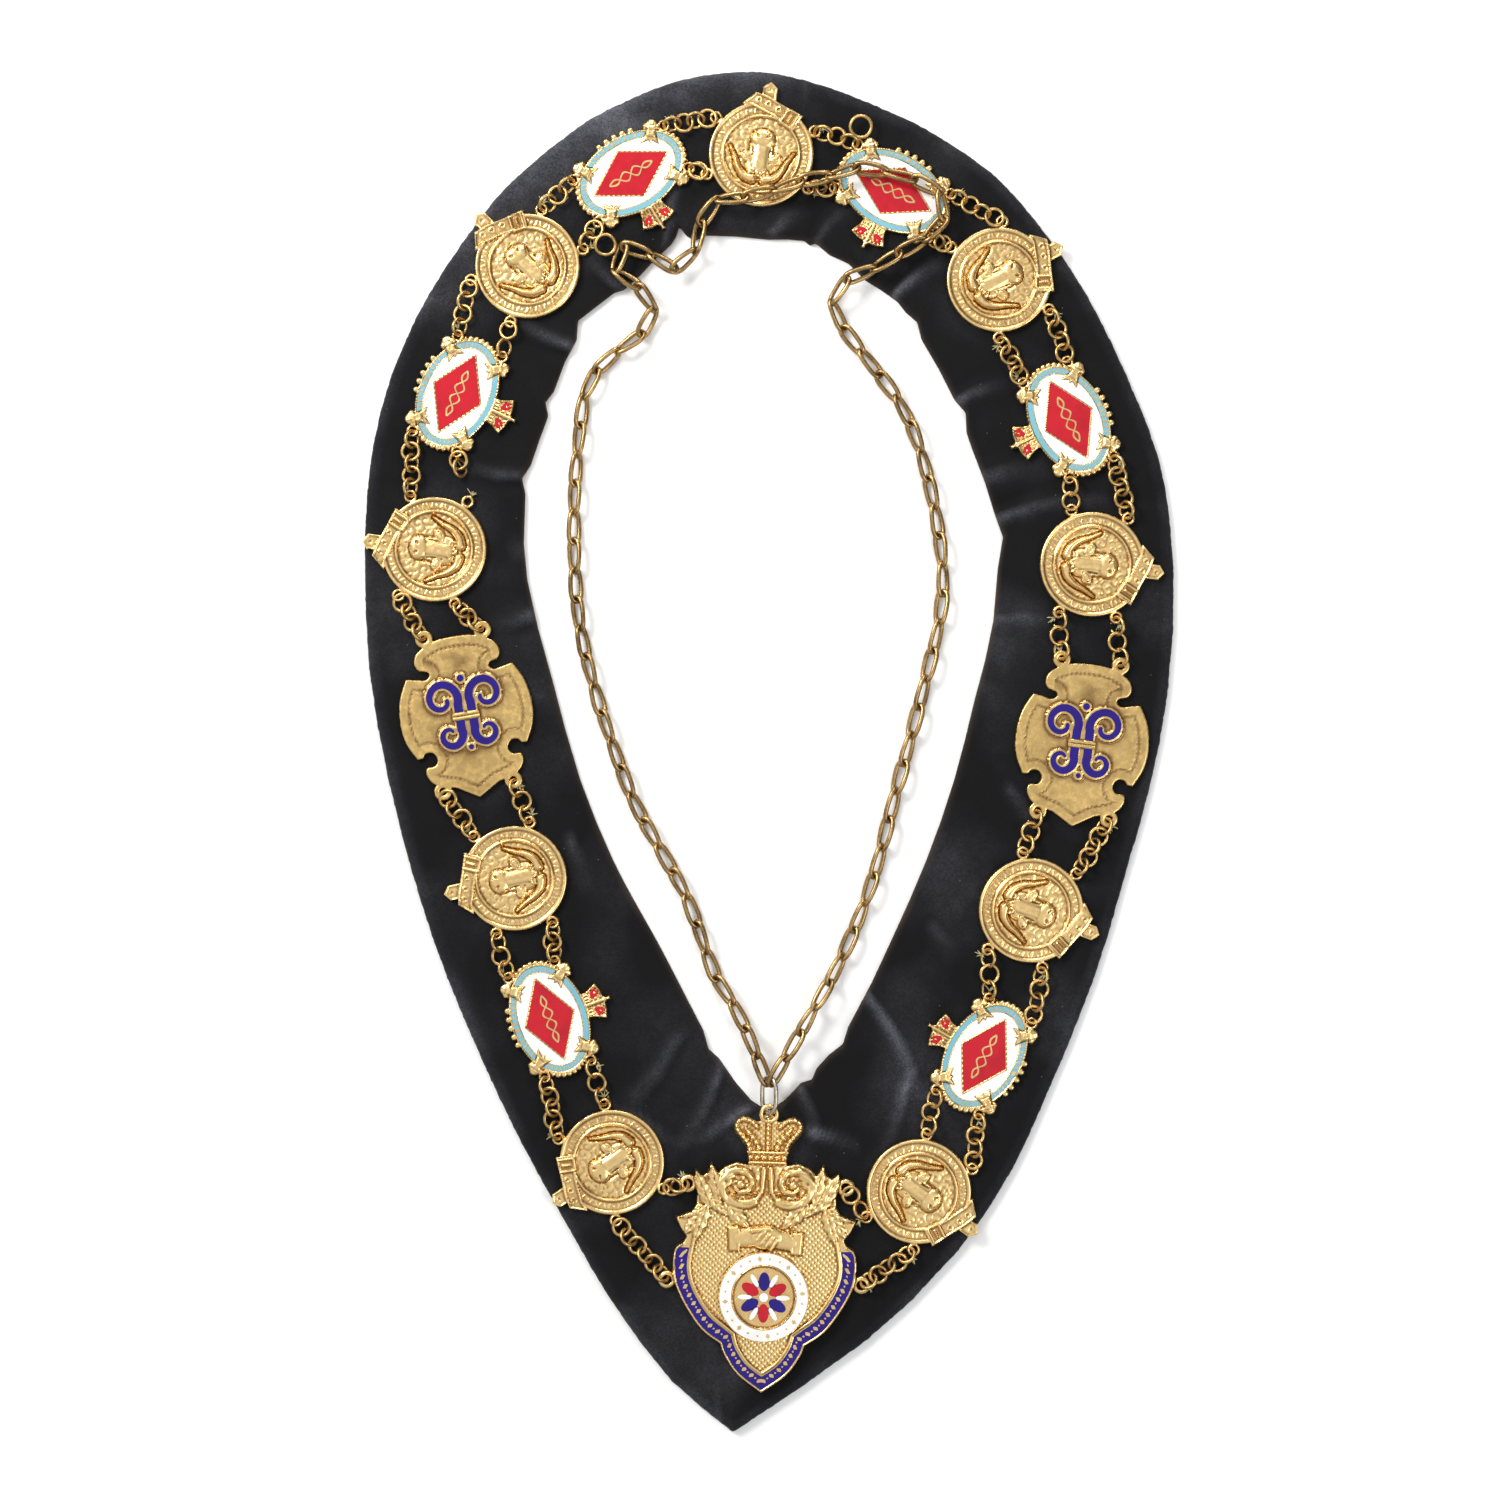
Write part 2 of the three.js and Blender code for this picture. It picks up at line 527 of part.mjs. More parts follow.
placed.forEach((badge, k) => {
  const next = placed[(k + 1) % placed.length];
  const here = rowLugs(badge, next.centre);
  const there = rowLugs(next, badge.centre);
  for (const row of ['outer', 'inner']) {
    const name = `rings_${badge.number}_to_${next.number}_${row}`;
    const broken = brokenRow.from === badge.number && brokenRow.row === row;
    const start = broken ? here[row].clone().lerp(there[row], 1 - brokenRow.reach) : here[row];
    const startRadius = broken ? 0 : lugRadiusOf[badge.kind];
    ringChain(name, start, startRadius, there[row], lugRadiusOf[next.kind]);
  }
});

// The nickel bail ring through the jewel's top eye, tilted about its length
const topEyeCentre = makers.jewel.topEye.clone().applyMatrix4(jewelPlaced.place);
const bailHalf = (bailLength - bailWire) / 2;
const bailArc = (bailWidth - bailWire) / 2;
const bailLow = topEyeCentre.clone().add(new THREE.Vector3(0, 0.3, 0));
const bailCentre = bailLow.clone().add(new THREE.Vector3(0, bailHalf, 0));
const bailAcross = new THREE.Vector3(Math.cos(THREE.MathUtils.degToRad(bailTilt)), 0,
  Math.sin(THREE.MathUtils.degToRad(bailTilt)));

// One closed wire link: its centre, its length direction, its width direction, the half length and
// end radius of its centre line, and its wire
function wireLink(centre, along, across, half, arc, wireRadius, endTurns, sides) {
  const normal = across.clone().cross(along).normalize();
  const ends = [];
  for (const end of [1, -1]) {
    endTurns.forEach((degrees) => {
      const angle = THREE.MathUtils.degToRad(degrees);
      ends.push({
        x: end * (half - arc + arc * Math.cos(angle)), y: end * arc * Math.sin(angle),
        outX: end * Math.cos(angle), outY: end * Math.sin(angle),
      });
    });
  }
  const sections = ends.map(({ x, y, outX, outY }) => {
    const middle = centre.clone().addScaledVector(along, x).addScaledVector(across, y);
    const inward = along.clone().multiplyScalar(-outX).addScaledVector(across, -outY);
    return Array.from({ length: sides }, (_, k) => {
      const turn = (2 * Math.PI * k) / sides;
      return middle.clone().addScaledVector(inward, wireRadius * Math.cos(turn))
        .addScaledVector(normal, wireRadius * Math.sin(turn));
    });
  });
  return toSolid(loopLoft(sections));
}

const bail = wireLink(bailCentre, new THREE.Vector3(0, 1, 0), bailAcross, bailHalf, bailArc, bailWire / 2,
  [-75, -45, -15, 15, 45, 75], 6);
addPiece('bail_ring', toGeometry(bail), finish.nickel);

// The neck chain's route, from the bail round by the left, over the nape badges and back, in
// percent of the half width and half length; level 0 lies inside the collar, 1 on the velvet and 2
// on a badge
const neckRoute = [
  { x: -7.9, y: -37.9, level: 0.6 },
  { x: -12.9, y: -33.5, level: 0 },
  { x: -16.6, y: -27.6, level: 0 },
  { x: -20, y: -21.8, level: 0 },
  { x: -33.6, y: -7.1, level: 0 },
  { x: -37.3, y: -1.2, level: 0 },
  { x: -42.3, y: 7.6, level: 0 },
  { x: -47, y: 19.4, level: 0 },
  { x: -48.2, y: 35.4, level: 0 },
  { x: -47, y: 45.7, level: 0 },
  { x: -44.5, y: 54.4, level: 0 },
  { x: -36.3, y: 59.4, level: 0 },
  { x: -29.5, y: 62.5, level: 0.2 },
  { x: -28.6, y: 65.6, level: 0.7 },
  { x: -31.6, y: 67.9, level: 1 },
  { x: -37.2, y: 69.4, level: 1.05 },
  { x: -38.2, y: 72.4, level: 1.1 },
  { x: -35.2, y: 74.2, level: 1.1 },
  { x: -30, y: 73, level: 1.1 },
  { x: -24, y: 70.6, level: 1.1 },
  { x: -18.8, y: 72.5, level: 1.05 },
  { x: -17.1, y: 77, level: 1.05 },
  { x: -14.5, y: 80.3, level: 1.3 },
  { x: -9.4, y: 80.9, level: 2 },
  { x: -2, y: 81.3, level: 2 },
  { x: 4.7, y: 83, level: 2 },
  { x: 15.3, y: 84.1, level: 2.1 },
  { x: 20, y: 85.3, level: 2 },
  { x: 32.4, y: 84.1, level: 2 },
  { x: 41, y: 82.3, level: 2 },
  { x: 43.6, y: 79, level: 2 },
  { x: 39.8, y: 75.5, level: 2 },
  { x: 33.1, y: 73.4, level: 1.5 },
  { x: 28.9, y: 71.6, level: 1.1 },
  { x: 23.2, y: 70.1, level: 1.15 },
  { x: 18, y: 68.8, level: 1 },
  { x: 15.3, y: 66.2, level: 0.6 },
  { x: 17.6, y: 62.8, level: 0 },
  { x: 25.7, y: 56.5, level: 0 },
  { x: 32.9, y: 50.6, level: 0 },
  { x: 37.6, y: 43.7, level: 0 },
  { x: 42, y: 31.6, level: 0 },
  { x: 42.8, y: 22.4, level: 0 },
  { x: 38.6, y: 10.6, level: 0 },
  { x: 30.7, y: -7.1, level: 0 },
  { x: 25.5, y: -18.8, level: 0 },
  { x: 17.6, y: -30.6, level: 0 },
  { x: 11, y: -37.6, level: 1 },
];
const neckLevels = [
  neckHalfRise + 0.05, velvetThickness + pieceGap + neckHalfRise, badgeTop + pieceGap + neckHalfRise,
];

function levelHeight(level) {
  const step = Math.min(Math.floor(level), 1);
  return THREE.MathUtils.lerp(neckLevels[step], neckLevels[step + 1], level - step);
}

// Both end links hook round the bail's top, side by side on its wire
const hookInset = bailWire / 2 + neckWireRadius + hookGap - (neckWire - neckLinkFusion) / 2;

function hookPoint(side) {
  const angle = (side * (neckWireRadius + hookSideGap)) / bailArc;
  return bailCentre.clone()
    .add(new THREE.Vector3(0, bailHalf - bailArc + (bailArc - hookInset) * Math.cos(angle), 0))
    .addScaledVector(bailAcross, bailArc * Math.sin(angle));
}

function makeNeckChain() {
  const route = neckRoute.map(({ x, y, level }) => percentPoint(x, y).setZ(levelHeight(level)));
  const path = new THREE.CatmullRomCurve3([hookPoint(-1), ...route, hookPoint(1)]);
  path.arcLengthDivisions = 2000;
  const count = 2 * Math.ceil(path.getLength() / neckLinkPitch / 2);
  const joints = path.getSpacedPoints(count);
  const links = Array.from({ length: count }, (_, k) => {
    const [a, b] = [joints[k], joints[k + 1]];
    const along = b.clone().sub(a);
    const chord = along.length();
    along.normalize();
    const side = along.clone().cross(new THREE.Vector3(0, 0, 1)).normalize();
    const up = side.clone().cross(along);
    const roll = THREE.MathUtils.degToRad(k % 2 ? 180 - linkRoll : linkRoll);
    const across = side.clone().multiplyScalar(Math.cos(roll)).addScaledVector(up, -Math.sin(roll));
    const meets = k === Math.floor(count / 2) - 1;
    const spare = meets ? neckMeetGap + neckLinkFusion : 0;
    const half = (chord + neckWire - neckLinkFusion + spare) / 2;
    const centre = a.clone().add(b).multiplyScalar(0.5).addScaledVector(along, spare / 2);
    return wireLink(centre, along, across, half, neckArcRadius, neckWireRadius, [-90, -45, 0, 45, 90], 5);
  });
  return [links.slice(0, Math.floor(count / 2)), links.slice(Math.floor(count / 2))];
}

const [leftLinks, rightLinks] = makeNeckChain();
addPiece('neck_chain_left', toGeometry(fuse(leftLinks)), finish.brass);
addPiece('neck_chain_right', toGeometry(fuse(rightLinks)), finish.brass);

// The origin is below the middle of the whole piece, on the surface that it lies on
const whole = new THREE.Box3().setFromObject(root, true);
const middle = whole.getCenter(new THREE.Vector3());
root.position.set(-middle.x, -middle.y, -whole.min.z);
const chainOfOffice = new THREE.Group();
chainOfOffice.add(root);
chainOfOffice.updateMatrixWorld(true);

export default chainOfOffice;
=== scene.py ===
# Chain of office on a pale table, seen from straight above, with soft light from the upper left.
# Shapes are worked out in millimetres, in the frame of the CAD model, and scaled at the end.
import bpy
import json
import math
import random
import numpy as np
from mathutils import Matrix, Vector, noise
from mathutils.bvhtree import BVHTree
from mathutils.geometry import tessellate_polygon

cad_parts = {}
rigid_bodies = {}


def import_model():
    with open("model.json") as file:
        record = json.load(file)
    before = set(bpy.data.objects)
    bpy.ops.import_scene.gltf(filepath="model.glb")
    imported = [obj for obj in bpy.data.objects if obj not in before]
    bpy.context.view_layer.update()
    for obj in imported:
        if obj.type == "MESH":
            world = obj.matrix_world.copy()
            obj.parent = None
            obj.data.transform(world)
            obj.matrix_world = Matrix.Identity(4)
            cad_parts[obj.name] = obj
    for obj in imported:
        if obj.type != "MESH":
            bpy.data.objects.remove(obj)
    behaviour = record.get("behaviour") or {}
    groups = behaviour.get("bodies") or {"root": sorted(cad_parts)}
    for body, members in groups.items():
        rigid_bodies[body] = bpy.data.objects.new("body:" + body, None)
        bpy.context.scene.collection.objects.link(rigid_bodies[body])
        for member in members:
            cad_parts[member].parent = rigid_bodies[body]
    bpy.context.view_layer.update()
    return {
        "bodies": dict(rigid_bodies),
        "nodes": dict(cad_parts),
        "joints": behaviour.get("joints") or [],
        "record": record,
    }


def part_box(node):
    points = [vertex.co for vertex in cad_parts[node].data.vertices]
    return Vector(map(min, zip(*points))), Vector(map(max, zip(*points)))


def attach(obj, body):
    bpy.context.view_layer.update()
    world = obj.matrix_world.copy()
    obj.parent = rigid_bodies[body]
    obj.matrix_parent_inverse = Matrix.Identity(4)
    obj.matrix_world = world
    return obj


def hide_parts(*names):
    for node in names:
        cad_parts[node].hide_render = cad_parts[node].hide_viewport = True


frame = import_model()
mm = 0.001
print("frame loaded:", len(frame["nodes"]), "nodes")


def addNode(tree, kind, **settings):
    node = tree.nodes.new("ShaderNode" + kind)
    for name, value in settings.items():
        if hasattr(node, name):
            setattr(node, name, value)
    return node


# each value is a number or the socket that feeds it
def mathNode(tree, operation, *values, clamp=False):
    node = addNode(tree, "Math", operation=operation, use_clamp=clamp)
    for socket, value in zip(node.inputs, values):
        if isinstance(value, (int, float)):
            socket.default_value = value
        else:
            tree.links.new(value, socket)
    return node.outputs[0]


# camera and lamps in millimetres, the ground in metres
view = {"lens": 85, "sensor": 36, "width": 525, "x": -6.65, "y": 0.7}
lamps = {
    "window": {"at": (-620, 560, 760), "size": 420, "watts": 9, "tint": (1.0, 0.98, 0.95)},
    "fill": {"at": (560, -300, 700), "size": 520, "watts": 2.6, "tint": (0.95, 0.97, 1.0)},
    "edge": {"at": (60, 760, 420), "size": 300, "watts": 2.4, "tint": (1.0, 0.97, 0.92)},
}
ground = {"half": 3.0, "level": -0.0002, "look": {"Base Color": (0.93, 0.93, 0.925, 1), "Roughness": 0.8}}
# the room is white above and dims below and toward the right
room = {
    "slope": -0.35, "low": 0.05, "high": 0.95, "dark": (0.10, 0.095, 0.09, 1), "bright": (1, 1, 1, 1),
    "strength": 0.8,
}


def makeStage():
    scene = bpy.context.scene
    camera = bpy.data.objects.new("camera", bpy.data.cameras.new("camera"))
    camera.data.lens = view["lens"]
    camera.data.sensor_width = view["sensor"]
    away = view["width"] * view["lens"] / view["sensor"]
    camera.location = Vector((view["x"], view["y"], away)) * mm
    camera.data.clip_end = 20
    scene.collection.objects.link(camera)
    scene.camera = camera

    mesh = bpy.data.meshes.new("floor")
    half = ground["half"]
    corners = [(-half, -half, 0), (half, -half, 0), (half, half, 0), (-half, half, 0)]
    mesh.from_pydata(corners, [], [(0, 1, 2, 3)])
    floor = bpy.data.objects.new("floor", mesh)
    floor.location.z = ground["level"]
    scene.collection.objects.link(floor)

    for name, lamp in lamps.items():
        data = bpy.data.lights.new(name, "AREA")
        data.shape = "DISK"
        data.size = lamp["size"] * mm
        data.energy = lamp["watts"]
        data.color = lamp["tint"]
        thing = bpy.data.objects.new(name, data)
        thing.location = Vector(lamp["at"]) * mm
        thing.rotation_euler = (-thing.location).to_track_quat("-Z", "Y").to_euler()
        scene.collection.objects.link(thing)

    world = bpy.data.worlds.new("studio")
    scene.world = world
    world.use_nodes = True
    tree = world.node_tree
    back = tree.nodes["Background"]
    split = addNode(tree, "SeparateXYZ")
    tree.links.new(addNode(tree, "TexCoord").outputs["Generated"], split.inputs[0])
    slope = mathNode(tree, "MULTIPLY_ADD", split.outputs["X"], room["slope"], split.outputs["Z"])
    ramp = addNode(tree, "ValToRGB")
    tree.links.new(slope, ramp.inputs[0])
    low, high = ramp.color_ramp.elements
    low.position, low.color = room["low"], room["dark"]
    high.position, high.color = room["high"], room["bright"]
    tree.links.new(ramp.outputs[0], back.inputs["Color"])
    back.inputs["Strength"].default_value = room["strength"]
    scene.view_settings.view_transform = "Standard"
    return floor


floor = makeStage()
print("stage ready")


# shader groups that the materials share
def startGroup(name, inputs, outputs):
    tree = bpy.data.node_groups.new(name, "ShaderNodeTree")
    for label, value in inputs.items():
        socket = tree.interface.new_socket(label, in_out="INPUT", socket_type="NodeSocketFloat")
        socket.default_value = value
    for label in outputs:
        tree.interface.new_socket(label, in_out="OUTPUT", socket_type="NodeSocketFloat")
    return tree, tree.nodes.new("NodeGroupInput"), tree.nodes.new("NodeGroupOutput")


def noiseAt(tree, place, scaleSocket, detail=4.0, roughness=0.6):
    node = addNode(tree, "TexNoise")
    node.inputs["Detail"].default_value = detail
    node.inputs["Roughness"].default_value = roughness
    tree.links.new(place, node.inputs["Vector"])
    tree.links.new(scaleSocket, node.inputs["Scale"])
    return node.outputs["Fac"]


def spread(tree, socket, low, high, toLow=0.0, toHigh=1.0):
    node = addNode(tree, "MapRange", interpolation_type="SMOOTHSTEP")
    node.inputs["From Min"].default_value = low
    node.inputs["From Max"].default_value = high
    node.inputs["To Min"].default_value = toLow
    node.inputs["To Max"].default_value = toHigh
    tree.links.new(socket, node.inputs["Value"])
    return node.outputs["Result"]


def makeTarnishGroup():
    tree, given, out = startGroup(
        "tarnish", {"Scale": 90.0, "Amount": 0.5, "Hollow": 0.0}, ["Mask", "Rub", "Height"])
    place = addNode(tree, "NewGeometry").outputs["Position"]
    broad = noiseAt(tree, place, given.outputs["Scale"], 5.0)
    fineScale = mathNode(tree, "MULTIPLY", given.outputs["Scale"], 9.0)
    fine = noiseAt(tree, place, fineScale, 3.0, 0.7)
    amount = mathNode(tree, "MULTIPLY", spread(tree, broad, 0.42, 0.72), given.outputs["Amount"])
    total = mathNode(tree, "ADD", amount, given.outputs["Hollow"], clamp=True)
    tree.links.new(total, out.inputs["Mask"])
    tree.links.new(spread(tree, fine, 0.35, 0.75), out.inputs["Rub"])
    tree.links.new(fine, out.inputs["Height"])
    return tree


def makePileGroup():
    tree, given, out = startGroup("pile", {"Scale": 30.0}, ["Lay", "Height"])
    place = addNode(tree, "NewGeometry").outputs["Position"]
    lay = noiseAt(tree, place, given.outputs["Scale"], 6.0, 0.65)
    nap = noiseAt(tree, place, mathNode(tree, "MULTIPLY", given.outputs["Scale"], 55.0), 2.0, 0.8)
    tree.links.new(spread(tree, lay, 0.35, 0.72), out.inputs["Lay"])
    tree.links.new(nap, out.inputs["Height"])
    return tree


def makeSpeckGroup():
    tree, given, out = startGroup("specks", {"Scale": 300.0, "Size": 0.12}, ["Mask"])
    place = addNode(tree, "NewGeometry").outputs["Position"]
    cells = addNode(tree, "TexVoronoi")
    tree.links.new(place, cells.inputs["Vector"])
    tree.links.new(given.outputs["Scale"], cells.inputs["Scale"])
    near = mathNode(tree, "LESS_THAN", cells.outputs["Distance"], given.outputs["Size"])
    few = addNode(tree, "SeparateColor")
    tree.links.new(cells.outputs["Color"], few.inputs[0])
    rare = mathNode(tree, "GREATER_THAN", few.outputs[0], 0.95)
    tree.links.new(mathNode(tree, "MULTIPLY", near, rare), out.inputs["Mask"])
    return tree


tarnishGroup = makeTarnishGroup()
pileGroup = makePileGroup()
speckGroup = makeSpeckGroup()


def startMaterial(name, look):
    material = bpy.data.materials.new(name)
    material.use_nodes = True
    tree = material.node_tree
    shader = tree.nodes["Principled BSDF"]
    for label, value in look.items():
        shader.inputs[label].default_value = value
    material.diffuse_color = look.get("Base Color", (0.5, 0.5, 0.5, 1))
    return material, tree, shader


def placeGroup(tree, group, **values):
    node = tree.nodes.new("ShaderNodeGroup")
    node.node_tree = group
    for label, value in values.items():
        node.inputs[label].default_value = value
    return node


def mixColours(tree, factor, first, second):
    node = addNode(tree, "Mix", data_type="RGBA")
    tree.links.new(factor, node.inputs["Factor"])
    for label, value in (("A", first), ("B", second)):
        target = [s for s in node.inputs if s.name == label and s.type == "RGBA"][0]
        if isinstance(value, tuple):
            target.default_value = (*value, 1)
        else:
            tree.links.new(value, target)
    return [s for s in node.outputs if s.type == "RGBA"][0]


def bumpFrom(tree, shader, height, strength, distance):
    node = addNode(tree, "Bump")
    node.inputs["Strength"].default_value = strength
    node.inputs["Distance"].default_value = distance
    tree.links.new(height, node.inputs["Height"])
    tree.links.new(node.outputs[0], shader.inputs["Normal"])


metals = {
    "gilt": {"bright": (0.86, 0.61, 0.27), "dull": (0.36, 0.18, 0.055), "rough": (0.24, 0.44),
             "scale": 70.0, "amount": 0.3},
    "plateGilt": {"bright": (0.70, 0.48, 0.185), "dull": (0.27, 0.155, 0.06), "rough": (0.26, 0.5),
                  "scale": 45.0, "amount": 0.7},
    "ringBrass": {"bright": (0.62, 0.41, 0.155), "dull": (0.24, 0.14, 0.06), "rough": (0.28, 0.5),
                  "scale": 160.0, "amount": 0.6},
    "chainBrass": {"bright": (0.42, 0.275, 0.115), "dull": (0.13, 0.075, 0.03), "rough": (0.26, 0.45),
                   "scale": 130.0, "amount": 0.75},
    "nickel": {"bright": (0.60, 0.54, 0.44), "dull": (0.30, 0.23, 0.14), "rough": (0.25, 0.45),
               "scale": 200.0, "amount": 0.7},
}


def makeMetal(name, look):
    material, tree, shader = startMaterial(name, {"Base Color": (*look["bright"], 1), "Metallic": 1.0})
    hollow = addNode(tree, "Attribute", attribute_name="hollow").outputs["Fac"]
    worn = placeGroup(tree, tarnishGroup, Scale=look["scale"], Amount=look["amount"])
    tree.links.new(hollow, worn.inputs["Hollow"])
    colour = mixColours(tree, worn.outputs["Mask"], look["bright"], look["dull"])
    tree.links.new(colour, shader.inputs["Base Color"])
    rough = spread(tree, worn.outputs["Rub"], 0, 1, *look["rough"])
    tree.links.new(rough, shader.inputs["Roughness"])
    bumpFrom(tree, shader, worn.outputs["Height"], 0.25, 0.00012)
    return material


enamels = {
    "whiteEnamel": {"colour": (0.86, 0.86, 0.84), "shade": (0.66, 0.64, 0.58), "rough": 0.12},
    "redEnamel": {"colour": (0.50, 0.010, 0.022), "shade": (0.28, 0.005, 0.014), "rough": 0.2},
    "skyEnamel": {"colour": (0.19, 0.44, 0.53), "shade": (0.15, 0.34, 0.41), "rough": 0.2},
    "blueEnamel": {"colour": (0.016, 0.006, 0.18), "shade": (0.008, 0.004, 0.10), "rough": 0.18},
}


# two shades of one colour that follow the tarnish
def makeShaded(name, look, colour, shade, scale, amount, bump):
    material, tree, shader = startMaterial(name, {"Base Color": (*colour, 1), **look})
    worn = placeGroup(tree, tarnishGroup, Scale=scale, Amount=amount)
    tree.links.new(mixColours(tree, worn.outputs["Mask"], colour, shade), shader.inputs["Base Color"])
    bumpFrom(tree, shader, worn.outputs["Height"], *bump)
    return material


def makeEnamel(name, look):
    surface = {"Roughness": look["rough"], "Specular IOR Level": 0.3}
    return makeShaded(name, surface, look["colour"], look["shade"], 140.0, 0.45, (0.06, 0.0001))


# black pile, the grey of the painted sheen, brown wear along the inner edge, and dust specks
velvetLook = {
    "black": (0.0036, 0.0036, 0.0043), "paintedSheenGrey": (0.115, 0.118, 0.142), "brown": (0.05, 0.03, 0.018),
    "dust": (0.11, 0.11, 0.105), "sheen": 0.05,
}


def makeVelvet():
    material, tree, shader = startMaterial("velvet", {
        "Base Color": (*velvetLook["black"], 1), "Roughness": 0.92, "Sheen Weight": velvetLook["sheen"],
        "Sheen Roughness": 0.38, "Sheen Tint": (0.75, 0.76, 0.82, 1), "Specular IOR Level": 0.2})
    pile = placeGroup(tree, pileGroup, Scale=26.0)
    dust = placeGroup(tree, speckGroup, Scale=420.0, Size=0.08)
    paintedSheen = addNode(tree, "Attribute", attribute_name="paintedSheen").outputs["Fac"]
    worn = addNode(tree, "Attribute", attribute_name="worn").outputs["Fac"]
    lay = spread(tree, pile.outputs["Lay"], 0, 1, 0.3, 1.0)
    nap = spread(tree, pile.outputs["Height"], 0.32, 0.68, 0.6, 1.4)
    grain = mathNode(tree, "MULTIPLY", lay, nap)
    # painted sheen: the pile is mixed from black toward grey where the collar's painted sheen mask is high
    lit = mathNode(tree, "MULTIPLY", grain, paintedSheen, clamp=True)
    colour = mixColours(tree, lit, velvetLook["black"], velvetLook["paintedSheenGrey"])
    colour = mixColours(tree, worn, colour, velvetLook["brown"])
    colour = mixColours(tree, dust.outputs["Mask"], colour, velvetLook["dust"])
    tree.links.new(colour, shader.inputs["Base Color"])
    bumpFrom(tree, shader, pile.outputs["Height"], 0.6, 0.0005)
    return material


finishes = {name: makeMetal(name, look) for name, look in metals.items()}
finishes.update({name: makeEnamel(name, look) for name, look in enamels.items()})
finishes["velvet"] = makeVelvet()
threadColour, threadShade = (0.42, 0.4, 0.22), (0.336, 0.32, 0.176)
finishes["thread"] = makeShaded(
    "thread", {"Roughness": 0.9}, threadColour, threadShade, 900.0, 0.5, (0.3, 0.0002))
floor.data.materials.append(startMaterial("floor", ground["look"])[0])
print("materials ready")


# flat shapes are distances that are negative inside
def circleAt(x, y, cx, cy, r):
    return np.hypot(x - cx, y - cy) - r


def ellipseAt(x, y, a, b, cx=0.0, cy=0.0, turn=0.0):
    c, s = math.cos(turn), math.sin(turn)
    u, v = (x - cx) * c + (y - cy) * s, -(x - cx) * s + (y - cy) * c
    near = np.hypot(u / a, v / b)
    slope = np.hypot(u / a ** 2, v / b ** 2) + 1e-9
    return near * (near - 1) / slope


def segmentAt(x, y, start, end, r0, r1=None):
    dx, dy = end[0] - start[0], end[1] - start[1]
    t = np.clip(((x - start[0]) * dx + (y - start[1]) * dy) / (dx * dx + dy * dy + 1e-9), 0, 1)
    radius = r0 + ((r0 if r1 is None else r1) - r0) * t
    return np.hypot(x - start[0] - t * dx, y - start[1] - t * dy) - radius


def strokeAt(x, y, points, r0, r1=None):
    r1 = r0 if r1 is None else r1
    count = len(points) - 1
    near = np.full(np.shape(x), 1e3)
    for k in range(count):
        a, b = r0 + (r1 - r0) * k / count, r0 + (r1 - r0) * (k + 1) / count
        near = np.minimum(near, segmentAt(x, y, points[k], points[k + 1], a, b))
    return near


def polygonAt(x, y, points):
    near = np.full(np.shape(x), 1e6)
    inside = np.zeros(np.shape(x), bool)
    for k in range(len(points)):
        ax, ay = points[k - 1]
        bx, by = points[k]
        near = np.minimum(near, segmentAt(x, y, (ax, ay), (bx, by), 0.0))
        crosses = (ay > y) != (by > y)
        inside ^= crosses & (x < (bx - ax) * (y - ay) / (by - ay + 1e-12) + ax)
    return np.where(inside, -near, near)


def boxAt(x, y, cx, cy, halfX, halfY, turn=0.0, corner=0.0):
    c, s = math.cos(turn), math.sin(turn)
    u, v = (x - cx) * c + (y - cy) * s, -(x - cx) * s + (y - cy) * c
    qx, qy = np.abs(u) - halfX + corner, np.abs(v) - halfY + corner
    return np.hypot(np.maximum(qx, 0), np.maximum(qy, 0)) + np.minimum(np.maximum(qx, qy), 0) - corner


def union(*parts):
    return np.minimum.reduce(parts)


def bothSides(half):
    return half + [(-x, y) for x, y in reversed(half) if x > 0]


def smoothLine(points, steps=6):
    out = []
    ends = [points[0]] + list(points) + [points[-1]]
    for k in range(1, len(ends) - 2):
        p0, p1, p2, p3 = (np.array(q, float) for q in ends[k - 1:k + 3])
        for s in range(steps):
            t = s / steps
            out.append(tuple(0.5 * (2 * p1 + (p2 - p0) * t + (2 * p0 - 5 * p1 + 4 * p2 - p3) * t ** 2
                                    + (3 * p1 - p0 - 3 * p2 + p3) * t ** 3)))
    return out + [tuple(points[-1])]


def raised(height, d, foot, rise, width):
    t = np.clip(-d / width, 0, 1)
    return np.where(d < 0, np.maximum(height, foot + rise * np.sqrt(1 - (1 - t) ** 2)), height)


def sunk(height, d, depth, width=0.35):
    return height - depth * np.clip(-d / width, 0, 1)


# height over its foot of one acanthus leaf with a midrib and side veins, or -1 outside
def leafRise(x, y, start, end, width, rise, lobes=4):
    dx, dy = end[0] - start[0], end[1] - start[1]
    length = math.hypot(dx, dy)
    u = ((x - start[0]) * dx + (y - start[1]) * dy) / length ** 2
    v = (-(x - start[0]) * dy + (y - start[1]) * dx) / length
    inner = np.clip(u, 0.001, 0.999)
    half = width * np.sin(np.pi * inner ** 0.8) ** 0.8 * (0.8 + 0.2 * np.abs(np.cos(lobes * np.pi * inner)))
    across = np.abs(v) / (half + 1e-6)
    form = np.clip(1 - across ** 2, 0, 1) ** 0.5
    veins = 0.85 + 0.15 * np.cos(2 * np.pi * (lobes * inner - across * 0.7))
    rib = 0.25 * np.exp(-(v / 0.22) ** 2)
    return np.where((u > 0) & (u < 1) & (across < 1), rise * (form * veins - rib), -1.0)


def blurred(field, reach):
    total = np.zeros_like(field)
    count = 0
    for dy in (-reach, 0, reach):
        for dx in (-reach, 0, reach):
            total += np.roll(np.roll(field, dy, 0), dx, 1)
            count += 1
    return total / count


